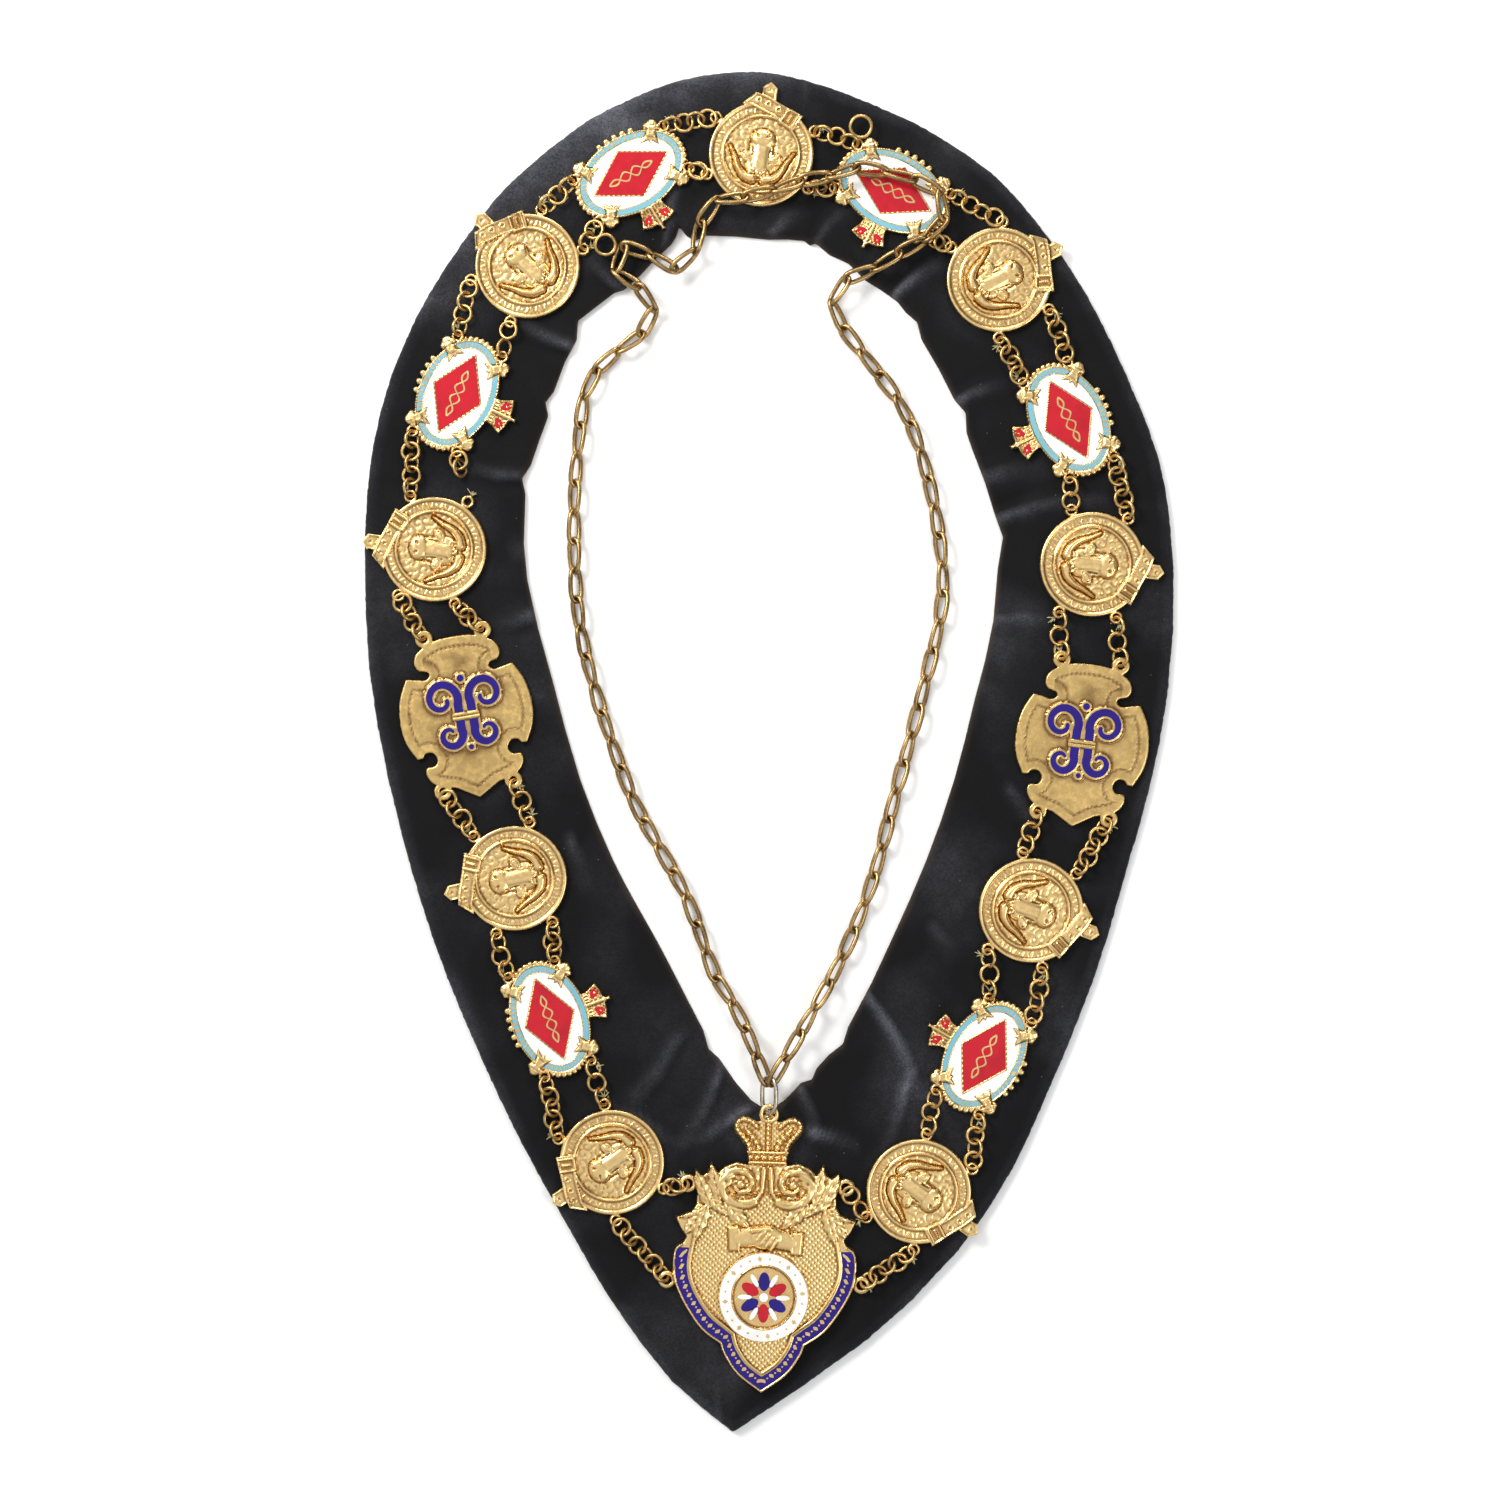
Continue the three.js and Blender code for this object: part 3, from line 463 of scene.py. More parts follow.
# faces that close the underside, island by island, each with its own holes
def bottomFaces(points, loops, below):
    def turnOf(loop):
        x, y = points[loop, 0], points[loop, 1]
        return float(np.sum(x * np.roll(y, -1) - y * np.roll(x, -1)))

    largest = max(loops, key=lambda loop: abs(turnOf(loop)))
    hand = math.copysign(1, turnOf(largest))
    islands = [[loop] for loop in loops if turnOf(loop) * hand > 0]
    for loop in loops:
        if turnOf(loop) * hand > 0:
            continue
        x, y = points[loop[0], :2]
        homes = [part for part in islands if float(polygonAt(x, y, points[part[0], :2])) < 0]
        if homes:
            min(homes, key=lambda part: abs(turnOf(part[0]))).append(loop)
    faces = []
    for part in islands:
        order = [p for loop in part for p in loop]
        for triangle in tessellate_polygon([[Vector((*points[p, :2], 0)) for p in loop] for loop in part]):
            a, b, c = (order[k] for k in triangle)
            cross = np.cross(points[b, :2] - points[a, :2], points[c, :2] - points[a, :2])
            downward = (a, c, b) if cross > 0 else (a, b, c)
            faces.append([p + below for p in downward])
    return faces


def flatTop(level):
    return lambda x, y: np.full(np.shape(x), level)


# the four corners of each cell of a grid
def cornersOf(grid):
    return grid[:-1, :-1], grid[:-1, 1:], grid[1:, 1:], grid[1:, :-1]


# how far round a point is looked at for hollows, how deep a full one is, and how light a ridge gets
hollows = {"reach": 0.6, "depth": 0.16, "ridge": -0.4}


# a closed plate over the shape: points, faces and how dark each point is in its hollows
def cutPlate(outlineAt, heightAt, box, cell, floorLevel=0.0, stainAt=None):
    xs = np.arange(box[0], box[2] + cell, cell)
    ys = np.arange(box[1], box[3] + cell, cell)
    gridX, gridY = np.meshgrid(xs, ys)
    away = outlineAt(gridX, gridY)
    inside = away < 0
    tall = heightAt(gridX, gridY)
    reach = max(1, round(hollows["reach"] / cell))
    hollow = np.clip((blurred(tall, reach) - tall) / hollows["depth"], hollows["ridge"], 1)
    if stainAt is not None:
        hollow = np.clip(hollow + stainAt(gridX, gridY), hollows["ridge"], 1)
    index = np.full(away.shape, -1)
    count = int(inside.sum())
    index[inside] = np.arange(count)
    full = np.logical_and.reduce(cornersOf(inside))
    faces = np.stack([part[full] for part in cornersOf(index)], 1).tolist()
    touched = np.logical_or.reduce(cornersOf(inside))

    edgePoints, edgeIndex, follows = [], {}, {}

    def onEdge(a, b):
        key = (a, b) if a < b else (b, a)
        if key not in edgeIndex:
            p, q = key
            t = away[p] / (away[p] - away[q])
            edgeIndex[key] = count + len(edgePoints)
            edgePoints.append((gridX[p] + t * (gridX[q] - gridX[p]), gridY[p] + t * (gridY[q] - gridY[p])))
        return edgeIndex[key]

    for i, j in np.argwhere(touched & ~full):
        corners = [(i, j), (i, j + 1), (i + 1, j + 1), (i + 1, j)]
        face, starts = [], []
        for k in range(4):
            here, after = corners[k], corners[(k + 1) % 4]
            if inside[here]:
                face.append(int(index[here]))
            if inside[here] != inside[after]:
                point = onEdge(here, after)
                face.append(point)
                starts.append((point, bool(inside[here])))
        for k, (point, exits) in enumerate(starts):
            if exits:
                follows[point] = starts[(k + 1) % len(starts)][0]
        faces.append(face)

    rim = np.array(edgePoints).reshape(-1, 2)
    flat = np.column_stack([gridX[inside], gridY[inside]])
    points = np.vstack([
        np.column_stack([flat, tall[inside]]),
        np.column_stack([rim, heightAt(rim[:, 0], rim[:, 1])]),
        np.column_stack([rim, np.full(len(rim), floorLevel)]),
    ])
    below = len(rim)
    for here, after in follows.items():
        faces.append([after, here, here + below, after + below])
    loops, left = [], dict(follows)
    while left:
        start, here = next(iter(left.items()))
        loop = [start]
        del left[start]
        while here != start:
            loop.append(here)
            here = left.pop(here)
        loops.append(loop)
    faces += bottomFaces(points, loops, below)
    depths = np.concatenate([hollow[inside], np.zeros(2 * below)])
    return {"points": points, "faces": faces, "hollow": depths}


# a round wire along a closed line of points; normals stand across it
def wireLoop(points, normals, radius, sides=8):
    count = len(points)
    rings = []
    for k in range(count):
        along = (points[(k + 1) % count] - points[k - 1]).normalized()
        across = normals[k].cross(along).normalized()
        up = along.cross(across)
        for s in range(sides):
            turn = 2 * math.pi * s / sides
            rings.append(points[k] + across * (radius * math.cos(turn)) + up * (radius * math.sin(turn)))
    faces = []
    for k in range(count):
        after = (k + 1) % count
        for s in range(sides):
            t = (s + 1) % sides
            faces.append([k * sides + s, k * sides + t, after * sides + t, after * sides + s])
    return {"points": np.array([tuple(p) for p in rings]), "faces": faces, "hollow": np.zeros(len(rings))}


# one mesh from shells given as (shell, finish name)
def joinShells(name, shells):
    slots = []
    points, faces, hollow, marks = [], [], [], []
    offset = 0
    for shell, finish in shells:
        if finish not in slots:
            slots.append(finish)
        points.append(shell["points"])
        faces += [[p + offset for p in face] for face in shell["faces"]]
        marks += [slots.index(finish)] * len(shell["faces"])
        hollow.append(shell["hollow"])
        offset += len(shell["points"])
    mesh = bpy.data.meshes.new(name)
    mesh.from_pydata((np.vstack(points) * mm).tolist(), [], faces)
    mesh.polygons.foreach_set("material_index", marks)
    mesh.polygons.foreach_set("use_smooth", [True] * len(faces))
    layer = mesh.attributes.new("hollow", "FLOAT", "POINT")
    layer.data.foreach_set("value", np.concatenate(hollow).astype(np.float32))
    for finish in slots:
        mesh.materials.append(finishes[finish])
    mesh.set_sharp_from_angle(angle=math.radians(55))
    mesh.update()
    return mesh


def addPiece(name, mesh, replaced=(), place=None):
    thing = bpy.data.objects.new(name, mesh)
    bpy.context.scene.collection.objects.link(thing)
    if place is not None:
        scaledPlace = place.copy()
        scaledPlace.translation = place.translation * mm
        thing.matrix_world = scaledPlace
    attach(thing, "root")
    if replaced:
        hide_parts(*replaced)
    return thing


# an outline with a lug added at each place, bored through
def withLugs(solid, x, y, part):
    for lx, ly in part["lugs"]:
        solid = np.minimum(solid, circleAt(x, y, lx, ly, part["lugRadius"]))
        solid = np.maximum(solid, -circleAt(x, y, lx, ly, part["lugHole"]))
    return solid


# the height rounded off toward the outline
def softEdge(height, away, width=0.45, floorShare=0.45):
    t = np.clip(-away / width, 0, 1)
    return height * (floorShare + (1 - floorShare) * np.sqrt(1 - (1 - t) ** 2))


# medallions: a belt and buckle round a horned ox head, tab along +Y
medallion = {
    "radius": 18.4, "lugReach": 20.3, "lugRadius": 2.5, "lugHole": 1.05, "lugAngles": (31, 149, -28, 208),
    "field": 1.25, "rim": 1.85, "cell": 0.31, "ring": 13.3, "line": 17.0, "marks": 15.3, "markHalf": 0.95,
    "markStep": math.radians(6.0), "mane": 12.7, "curls": 46,
}
medallion["lugs"] = [(medallion["lugReach"] * math.cos(math.radians(a)),
                      medallion["lugReach"] * math.sin(math.radians(a))) for a in medallion["lugAngles"]]
buckle = {"x": 8.2, "y": 13.6, "halfX": 2.1, "halfY": 2.9, "tilt": -math.radians(27), "wire": 0.45}
beltLine = [(12.9, 15.1), (7.3, 17.2), (-0.5, 20.4), (-4.7, 21.4), (-9.6, 16.3), (-5.8, 16.4), (2.6, 13.4),
            (9.7, 9.3)]
beltHoles = [(-3.3, 18.6), (0.1, 17.6), (3.9, 16.2)]
tabLine = bothSides([(0, 25.4), (2.75, 23.4), (2.75, 16.0), (0, 16.0)])
hornLine = smoothLine([(2.2, -9.0), (5.2, -8.1), (7.7, -5.2), (9.0, -2.2), (11.2, 1.6)], 4)


def medallionOutline(x, y):
    disc = circleAt(x, y, 0, 0, medallion["radius"])
    return withLugs(union(disc, polygonAt(x, y, tabLine), polygonAt(x, y, beltLine)), x, y, medallion)


def curlSpots(count, reach, seed):
    picker = random.Random(seed)
    spots = []
    while len(spots) < count:
        a, r = picker.uniform(0, 2 * math.pi), reach * math.sqrt(picker.random())
        spots.append((r * math.cos(a), r * math.sin(a), picker.uniform(0, 6.28), picker.choice((-1, 1))))
    return spots


def curly(x, y, spots, pitch):
    near = np.full(np.shape(x), 1e3)
    form = np.zeros(np.shape(x))
    for cx, cy, phase, hand in spots:
        away = np.hypot(x - cx, y - cy)
        swirl = 0.5 + 0.5 * np.cos(away * pitch + hand * np.arctan2(y - cy, x - cx) + phase)
        form = np.where(away < near, swirl, form)
        near = np.minimum(near, away)
    return form


maneSpots = curlSpots(medallion["curls"], 11.8, 5)


def medallionHeight(x, y):
    m = medallion
    r, turn = np.hypot(x, y), np.arctan2(y, x)
    h = np.full(np.shape(x), m["field"])
    h = raised(h, np.abs(r - m["radius"] + 0.75) - 0.75, m["field"] - 0.1, m["rim"] - m["field"], 0.55)
    h = raised(h, np.abs(r - m["ring"]) - 0.5, m["field"] - 0.1, 0.62, 0.4)
    h = raised(h, np.abs(r - m["line"]) - 0.2, m["field"] - 0.05, 0.25, 0.18)

    # slanted strokes between the two rings, with a dot at each sixth place
    step = m["markStep"]
    number = np.floor(turn / step)
    along, across = (np.mod(turn, step) - step / 2) * r, r - m["marks"]
    slant = np.where(np.mod(number, 2) == 0, 0.4, -0.4)
    stroke = np.maximum(np.abs(along - slant * across) - 0.24, np.abs(across) - m["markHalf"])
    dot = np.hypot(along, across) - 0.45
    h = raised(h, np.where(np.mod(number, 6) == 0, dot, stroke), m["field"] - 0.05, 0.3, 0.24)

    # low mane curls on the ground inside the inner ring
    mane = 1.0 + 0.2 * curly(x, y, maneSpots, 2.4) + 0.3 * np.clip(1 - r / 12, 0, 1)
    h = np.where(r < m["mane"], mane, h)

    # head: skull wide at the eyes, long bridge down to a rounded muzzle toward the tab, curls on the poll
    side = np.abs(x)
    h = sunk(h, segmentAt(x, y, (0, -3.8), (0, 4.4), 5.6, 5.0), 0.4, 0.8)
    h = raised(h, segmentAt(x, y, (0, -3.8), (0, 4.4), 5.0, 3.7), 1.0, 1.05, 2.2)
    h = sunk(h, strokeAt(side, y, [(3.3, -3.2), (2.9, 0), (3.2, 2.2)], 0.4), 0.5, 0.35)
    h = raised(h, segmentAt(x, y, (0, -4.6), (0, 3.6), 2.5, 2.3), 1.6, 0.85, 1.6)
    h = raised(h, ellipseAt(x, y, 4.4, 3.5, 0, 5.3), 1.15, 1.5, 2.4)
    h = sunk(h, np.where(y > 5.6, np.abs(ellipseAt(x, y, 3.3, 2.5, 0, 5.3)) - 0.16, 1.0), 0.4, 0.2)
    h = sunk(h, ellipseAt(side, y, 0.95, 0.55, 1.8, 6.3, 0.7), 0.6, 0.3)
    h = raised(h, ellipseAt(side, y, 2.5, 1.8, 4.9, -1.4, 0.5), 1.2, 0.9, 1.0)
    h = sunk(h, np.abs(ellipseAt(side, y, 1.5, 0.95, 4.9, -1.4, 0.5)) - 0.22, 0.45, 0.25)
    poll = ellipseAt(x, y, 3.9, 2.5, 0, -7.2)
    h = np.where(poll < 0, np.maximum(h, 1.9 + 0.6 * curly(x, y, maneSpots, 4.0)), h)
    h = sunk(h, strokeAt(side, y, hornLine, 2.5, 1.2), 0.5, 0.6)
    h = raised(h, strokeAt(side, y, hornLine, 1.75, 0.5), 1.1, 1.6, 1.4)

    # belt with holes and slanted end, buckle over it
    belt = polygonAt(x, y, beltLine)
    h = np.where(belt < 0, 1.5, h)
    h = raised(h, np.abs(belt + 0.4) - 0.4, 1.45, 0.45, 0.35)
    for hx, hy in beltHoles:
        h = raised(h, np.abs(circleAt(x, y, hx, hy, 0.8)) - 0.28, 1.4, 0.35, 0.25)
        h = sunk(h, circleAt(x, y, hx, hy, 0.45), 0.4, 0.2)
    b = buckle
    frameEdge = np.abs(boxAt(x, y, b["x"], b["y"], b["halfX"], b["halfY"], b["tilt"], 0.3)) - b["wire"]
    prong = boxAt(x, y, b["x"], b["y"], 0.4, 1.6, b["tilt"])
    h = raised(h, np.minimum(frameEdge, prong), 1.6, 0.5, 0.4)
    tab = polygonAt(x, y, tabLine)
    onTab = (tab < 0) & (belt > 0) & (r > m["radius"])
    h = np.where(onTab, 1.35, h)
    h = np.where(onTab & (tab > -0.8), 1.35 + 0.3 * np.clip((tab + 0.8) / 0.3, 0, 1), h)
    h = sunk(h, polygonAt(x, y, [(0, 23.4), (-0.9, 22), (0.9, 22)]), 0.35, 0.25)
    for lx, ly in m["lugs"]:
        lug = np.abs(np.hypot(x - lx, y - ly) - 1.75) - 0.8
        h = np.where((lug < 0.2) & (r > m["radius"] - 0.1), 0.5 + 1.1 * np.sqrt(np.clip(-lug / 0.8, 0, 1)), h)
    return softEdge(h, medallionOutline(x, y))


# ovals: white field, red lozenge, sky-blue band, four clasps, long side along Y, crown along +X
oval = {
    "halfX": 13.6, "halfY": 19.8, "whiteX": 10.6, "whiteY": 16.6, "bandX": 12.75, "bandY": 18.95,
    "lugs": [(8.57, 18.4), (-8.57, 18.4), (-8.57, -18.4), (8.57, -18.4)], "lugRadius": 2.3, "lugHole": 1.0,
    "field": 1.3, "lozengeX": 9.0, "lozengeY": 15.0, "cell": 0.3, "clasp": (9.3, 13.7), "scallop": 1.15,
    "scallopX": 14.0, "scallopY": 20.1,
}
twist = {"swing": 1.75, "pitch": 0.72, "end": 10.5, "wire": 0.27, "half": 8.7}
bars = {"step": math.radians(6.5), "x": 11.85, "y": 17.9, "thin": 0.25, "half": 0.62, "past": 0.62}
ovalCrown = [(12.6, -4.3), (15.2, -4.8), (18.9, -6.6), (20.0, -3.6), (20.2, -1.3), (21.2, -0.6), (22.4, -0.9),
             (22.4, 0.9), (21.2, 0.6), (20.2, 1.3), (20.0, 3.6), (18.9, 6.6), (15.2, 4.8), (12.6, 4.3)]
lozengeLine = [(oval["lozengeX"], 0), (0, oval["lozengeY"]), (-oval["lozengeX"], 0), (0, -oval["lozengeY"])]


def scallops():
    spots = []
    for degrees in list(range(58, 123, 8)) + list(range(238, 303, 8)) + list(range(158, 203, 9)):
        a = math.radians(degrees)
        spots.append((oval["scallopX"] * math.cos(a), oval["scallopY"] * math.sin(a)))
    return spots


scallopSpots = scallops()
claspTail = [(-1.0, -1.6), (-4.6, -3.2), (-3.3, -0.6), (-4.4, 0), (-3.3, 0.6), (-4.6, 3.2), (-1.0, 1.6)]


# distances to the clasp's outer lobe, its strap and its fishtail
def claspAt(x, y):
    sx, sy = np.abs(x), np.abs(y)
    cx, cy = oval["clasp"]
    a = math.atan2(cy / oval["halfY"] ** 2, cx / oval["halfX"] ** 2)
    u = (sx - cx) * math.cos(a) + (sy - cy) * math.sin(a)
    v = -(sx - cx) * math.sin(a) + (sy - cy) * math.cos(a)
    lobe = union(circleAt(u, v, 2.0, 0, 2.1), circleAt(u, v, 1.4, 1.9, 1.2), circleAt(u, v, 1.4, -1.9, 1.2))
    strap = boxAt(u, v, -0.2, 0, 2.1, 1.75, 0, 0.3)
    tail = polygonAt(u, v, claspTail)
    return lobe, strap, tail


def ovalOutline(x, y):
    o = oval
    solid = union(ellipseAt(x, y, o["halfX"], o["halfY"]), polygonAt(x, y, ovalCrown), claspAt(x, y)[0])
    for sx, sy in scallopSpots:
        solid = np.minimum(solid, circleAt(x, y, sx, sy, o["scallop"]))
    return withLugs(solid, x, y, o)


def ovalHeight(x, y):
    o = oval
    body = ellipseAt(x, y, o["halfX"], o["halfY"])
    h = np.full(np.shape(x), o["field"])
    h = raised(h, np.abs(body + 0.4) - 0.4, o["field"] - 0.1, 0.5, 0.3)
    frame = np.abs(ellipseAt(x, y, o["whiteX"] + 0.2, o["whiteY"] + 0.2)) - 0.2
    h = raised(h, frame, o["field"] - 0.05, 0.3, 0.2)
    h = raised(h, np.abs(polygonAt(x, y, lozengeLine)) - 0.28, o["field"] - 0.05, 0.42, 0.22)
    for sx, sy in scallopSpots:
        h = np.where(body > -0.1, raised(h, circleAt(x, y, sx, sy, o["scallop"]), 1.0, 0.75, 0.9), h)
    crown = polygonAt(x, y, ovalCrown)
    onCrown = (crown < 0) & (body > 0)
    h = np.where(onCrown, 1.35 + 0.18 * np.cos(y * 4.2) * np.cos(x * 3.6), h)
    h = np.where(onCrown & (x < 15.3), 1.5 + 0.2 * np.cos(y * 5.5), h)
    h = np.where(onCrown & (crown > -0.7), 1.75, h)
    h = np.where(onCrown, raised(h, np.abs(y) - 0.7, 1.3, 0.7, 0.6), h)
    h = np.where(onCrown, sunk(h, redCrownAt(x, y), 0.35, 0.2), h)
    lobe, strap, tail = claspAt(x, y)
    grain = 0.12 * np.cos(x * 4.1 + 1.3) * np.cos(y * 3.7)
    h = np.where(lobe < 0, np.maximum(h, 1.25 + grain + 0.85 * np.sqrt(np.clip(-lobe / 1.6, 0, 1))), h)
    h = raised(h, tail, 1.4, 0.5, 0.5)
    h = raised(h, strap, 1.5, 0.75, 0.6)
    h = raised(h, np.abs(strap + 0.9) - 0.25, 1.9, 0.5, 0.2)
    for lx, ly in o["lugs"]:
        lug = np.abs(np.hypot(x - lx, y - ly) - 1.65) - 0.75
        onLug = (lug < 0.2) & (body > 0.4) & (lobe > 0)
        h = np.where(onLug, 0.5 + 1.0 * np.sqrt(np.clip(-lug / 0.75, 0, 1)), h)
    return softEdge(h, ovalOutline(x, y))


def redCrownAt(x, y):
    side = np.abs(y)
    cell = union(ellipseAt(x, side, 1.5, 1.35, 17.6, 3.3, 0.5), circleAt(x, side, 16.6, 2.3, 0.7))
    bead = union(circleAt(x, side, 17.7, 3.3, 0.45), circleAt(x, side, 18.6, 4.0, 0.3))
    return np.maximum(cell, -bead)


def whiteAt(x, y):
    lobe, strap, tail = claspAt(x, y)
    white = np.maximum(ellipseAt(x, y, oval["whiteX"], oval["whiteY"]), -polygonAt(x, y, lozengeLine) + 0.28)
    return np.maximum(white, -union(lobe, strap, tail) + 0.1)


def skyAt(x, y):
    lobe, strap, tail = claspAt(x, y)
    hole = 0.4 - ellipseAt(x, y, oval["whiteX"], oval["whiteY"])
    ring = np.maximum(ellipseAt(x, y, oval["bandX"], oval["bandY"]), hole)
    return np.maximum(ring, -union(lobe, strap, tail) + 0.35)


def redLozengeAt(x, y):
    return polygonAt(x, y, lozengeLine) + 0.28


# two gold strands that cross along the lozenge
def twistAt(x, y):
    wave = twist["swing"] * np.sin(y * twist["pitch"]) * np.clip(1.15 - np.abs(y) / twist["end"], 0, 1)
    line = np.abs(np.abs(x) - np.abs(wave)) * 0.85 - twist["wire"]
    return np.maximum(line, np.abs(y) - twist["half"])


# short bars along the blue band, left out by the crown
def bandMarksAt(x, y):
    turn = np.arctan2(y / oval["halfY"], x / oval["halfX"])
    along = (np.mod(turn, bars["step"]) - bars["step"] / 2) * np.hypot(x, y)
    mid = ellipseAt(x, y, bars["x"], bars["y"])
    bar = np.maximum(np.abs(along) - bars["thin"], np.abs(mid) - bars["half"])
    return np.maximum(np.where(np.cos(turn) < bars["past"], bar, 1.0), skyAt(x, y) + 0.3)


# plates: engraved gilt with a raised double scroll in dark blue, upright along +Y
plate = {
    "lugs": [(10.34, 27.1), (-10.34, 27.1), (-12.45, -26.4), (12.45, -26.4)],
    "lugRadius": 3.2, "lugHole": 1.1, "field": 1.4, "cell": 0.35, "tie": (0, -1.5, 4.9, 1.25),
}
plateLine = bothSides(
    smoothLine([(0, 26.6), (6, 26.2), (11.4, 24.2), (14.4, 21.8), (15.2, 18.8), (14, 16.4),
                (11.2, 15.5), (10.7, 14.2), (12.2, 13.0), (15.4, 13.6), (18.9, 14.3)], 4)
    + smoothLine([(18.9, 14.2), (22.2, 7.4), (23.4, -1), (22.4, -8), (19.4, -14.2)], 4)
    + smoothLine([(19.4, -14.2), (17.4, -14.0), (16.2, -12.6), (13.9, -12.7), (12.6, -15), (13.8, -17.1),
                  (16.6, -17.4), (17.2, -20), (15.4, -23.2), (12, -24.9), (7.4, -26.2)], 4)
    + [(0, -30.6)])
volutes = {
    "upper": {"x": 7.5, "y": 4.8, "reach": 5.6, "end": 1.7, "from": 200, "to": -170, "thick": 1.8,
              "thin": 1.0},
    "lower": {"x": 6.3, "y": -7.4, "reach": 4.2, "end": 1.3, "from": 160, "to": 490, "thick": 1.8,
              "thin": 0.8},
}
drops = [(0, 11.6, 1.5), (0, -12.6, 1.2)]


def voluteCurl(volute):
    line = []
    for t in np.linspace(0, 1, 26):
        a = math.radians(volute["from"] + (volute["to"] - volute["from"]) * t)
        r = volute["reach"] + (volute["end"] - volute["reach"]) * max(0.0, (t - 0.3) / 0.7)
        line.append((volute["x"] + r * math.cos(a), volute["y"] + r * math.sin(a)))
    return line


upperCurl, lowerCurl = voluteCurl(volutes["upper"]), voluteCurl(volutes["lower"])


# two back-to-back scrolls, curled at both ends, with a drop above and below
def motifAt(x, y):
    side = np.abs(x)
    upper = strokeAt(side, y, upperCurl, volutes["upper"]["thick"], volutes["upper"]["thin"])
    lower = strokeAt(side, y, lowerCurl, volutes["lower"]["thick"], volutes["lower"]["thin"])
    spine = segmentAt(side, y, upperCurl[0], lowerCurl[0], 1.8)
    return union(upper, lower, spine, *[circleAt(x, y, dx, dy, r) for dx, dy, r in drops])


def tieAt(x, y):
    return boxAt(x, y, *plate["tie"], 0, 0.4)


def blueScrollAt(x, y):
    return np.maximum(motifAt(x, y) + 0.28, 0.15 - tieAt(x, y))


# brown tarnish left round the raised scrolls and under the top edge
def plateStain(x, y):
    near = np.exp(-(np.maximum(motifAt(x, y) - 0.5, 0) / 1.9) ** 2)
    top = np.exp(-((y - 17.5) / 3.0) ** 2) * (0.5 + 0.5 * np.cos(x * 0.55 + 0.8 * np.sin(y)))
    border = 0.5 * np.clip(1 - np.abs(engravedAt(x, y)) / 0.5, 0, 1)
    return np.where(motifAt(x, y) > 0.5, 0.6 * near, 0) + 0.6 * top * (np.abs(x) < 12) + border


# two wavy lines engraved inside the edge
def engravedAt(x, y):
    wriggle = 0.35 * np.sin((np.arctan2(y, x) * np.hypot(x, y)) * 1.9)
    inset = polygonAt(x, y, plateLine) + 3.6
    return np.minimum(np.abs(inset + wriggle), np.abs(inset - wriggle)) - 0.2


def plateOutline(x, y):
    return withLugs(polygonAt(x, y, plateLine), x, y, plate)


def plateHeight(x, y):
    edge = polygonAt(x, y, plateLine)
    h = np.full(np.shape(x), plate["field"])
    h = sunk(h, engravedAt(x, y), 0.16, 0.2)
    h = h + 0.06 * np.clip(1 + edge / 2.5, 0, 1)
    motif = motifAt(x, y)
    h = np.where(motif < 0.55, np.maximum(h, 2.05), h)
    h = np.where(motif < -0.4, 2.2, h)
    tie = tieAt(x, y)
    h = np.where(tie < 0, 2.6, h)
    h = np.where(tie < 0, sunk(h, np.abs(y - plate["tie"][1]) - 0.25, 0.3, 0.2), h)
    for lx, ly in plate["lugs"]:
        h = sunk(h, np.abs(np.hypot(x - lx, y - ly) - 1.6) - 0.3, 0.15, 0.25)
    return softEdge(h, plateOutline(x, y))


# main jewel, upright along +Y
jewel = {
    "field": 2.05, "plate": 2.5, "cell": 0.3, "spiral": (9.2, 24.6),
    "lugs": [(27.5, 24.25), (-27.5, 24.25), (-33.9, -9.5), (33.9, -9.5)], "lugRadius": 3.3, "lugHole": 1.5,
    "eyeY": 49.46, "eyeLevel": 2.85, "eyeRadius": 2.75, "eyeWire": 0.78,
}
jewelHalf = [
    (0, 30.8), (6, 31.4), (11, 32.2), (15, 30.6), (17.2, 28.4), (19.6, 32.2), (20.8, 28.4), (22.4, 27.4),
    (25.2, 29.6), (25.4, 25.4), (24.4, 21), (24.4, 17.4), (26, 14.8), (31.6, 12.7), (29.8, 8.8), (27.6, 5.8),
    (28.6, 4.0), (30.6, 2.8)]
bandHalf = [(30.6, 2.8), (31.9, 0.4), (32.1, -5.3), (30.9, -11.4), (27, -19), (21.3, -26.6), (14.8, -31.2)]
tongueHalf = [(14.8, -31.2), (13.4, -34.9), (8.6, -41.7), (0, -48)]
innerHalf = [(25.0, 3.4), (26, -4.6), (24, -12), (18.5, -20.5), (13, -25), (10, -27.3)]
innerTongue = [(10, -27.3), (8.6, -31.9), (5, -37.2), (0, -41)]
crownSide = [(11.6, 42), (12.4, 44.6), (11.2, 47.3), (8.4, 48.5), (5.4, 47.4), (3.4, 46.6), (2.6, 48.4)]
jewelLine = bothSides(jewelHalf + smoothLine(bandHalf, 4)[1:] + smoothLine(tongueHalf, 4)[1:])
innerLine = bothSides([(0, 22)] + [(16, 21), (23.5, 12)] + smoothLine(innerHalf, 4)
                      + smoothLine(innerTongue, 4)[1:])
crownLine = bothSides([(0, 30), (6.8, 30.6), (7.0, 34.6), (8.4, 38.4), (11.6, 42.0)]
                      + smoothLine(crownSide, 4) + [(0, 49.2)])
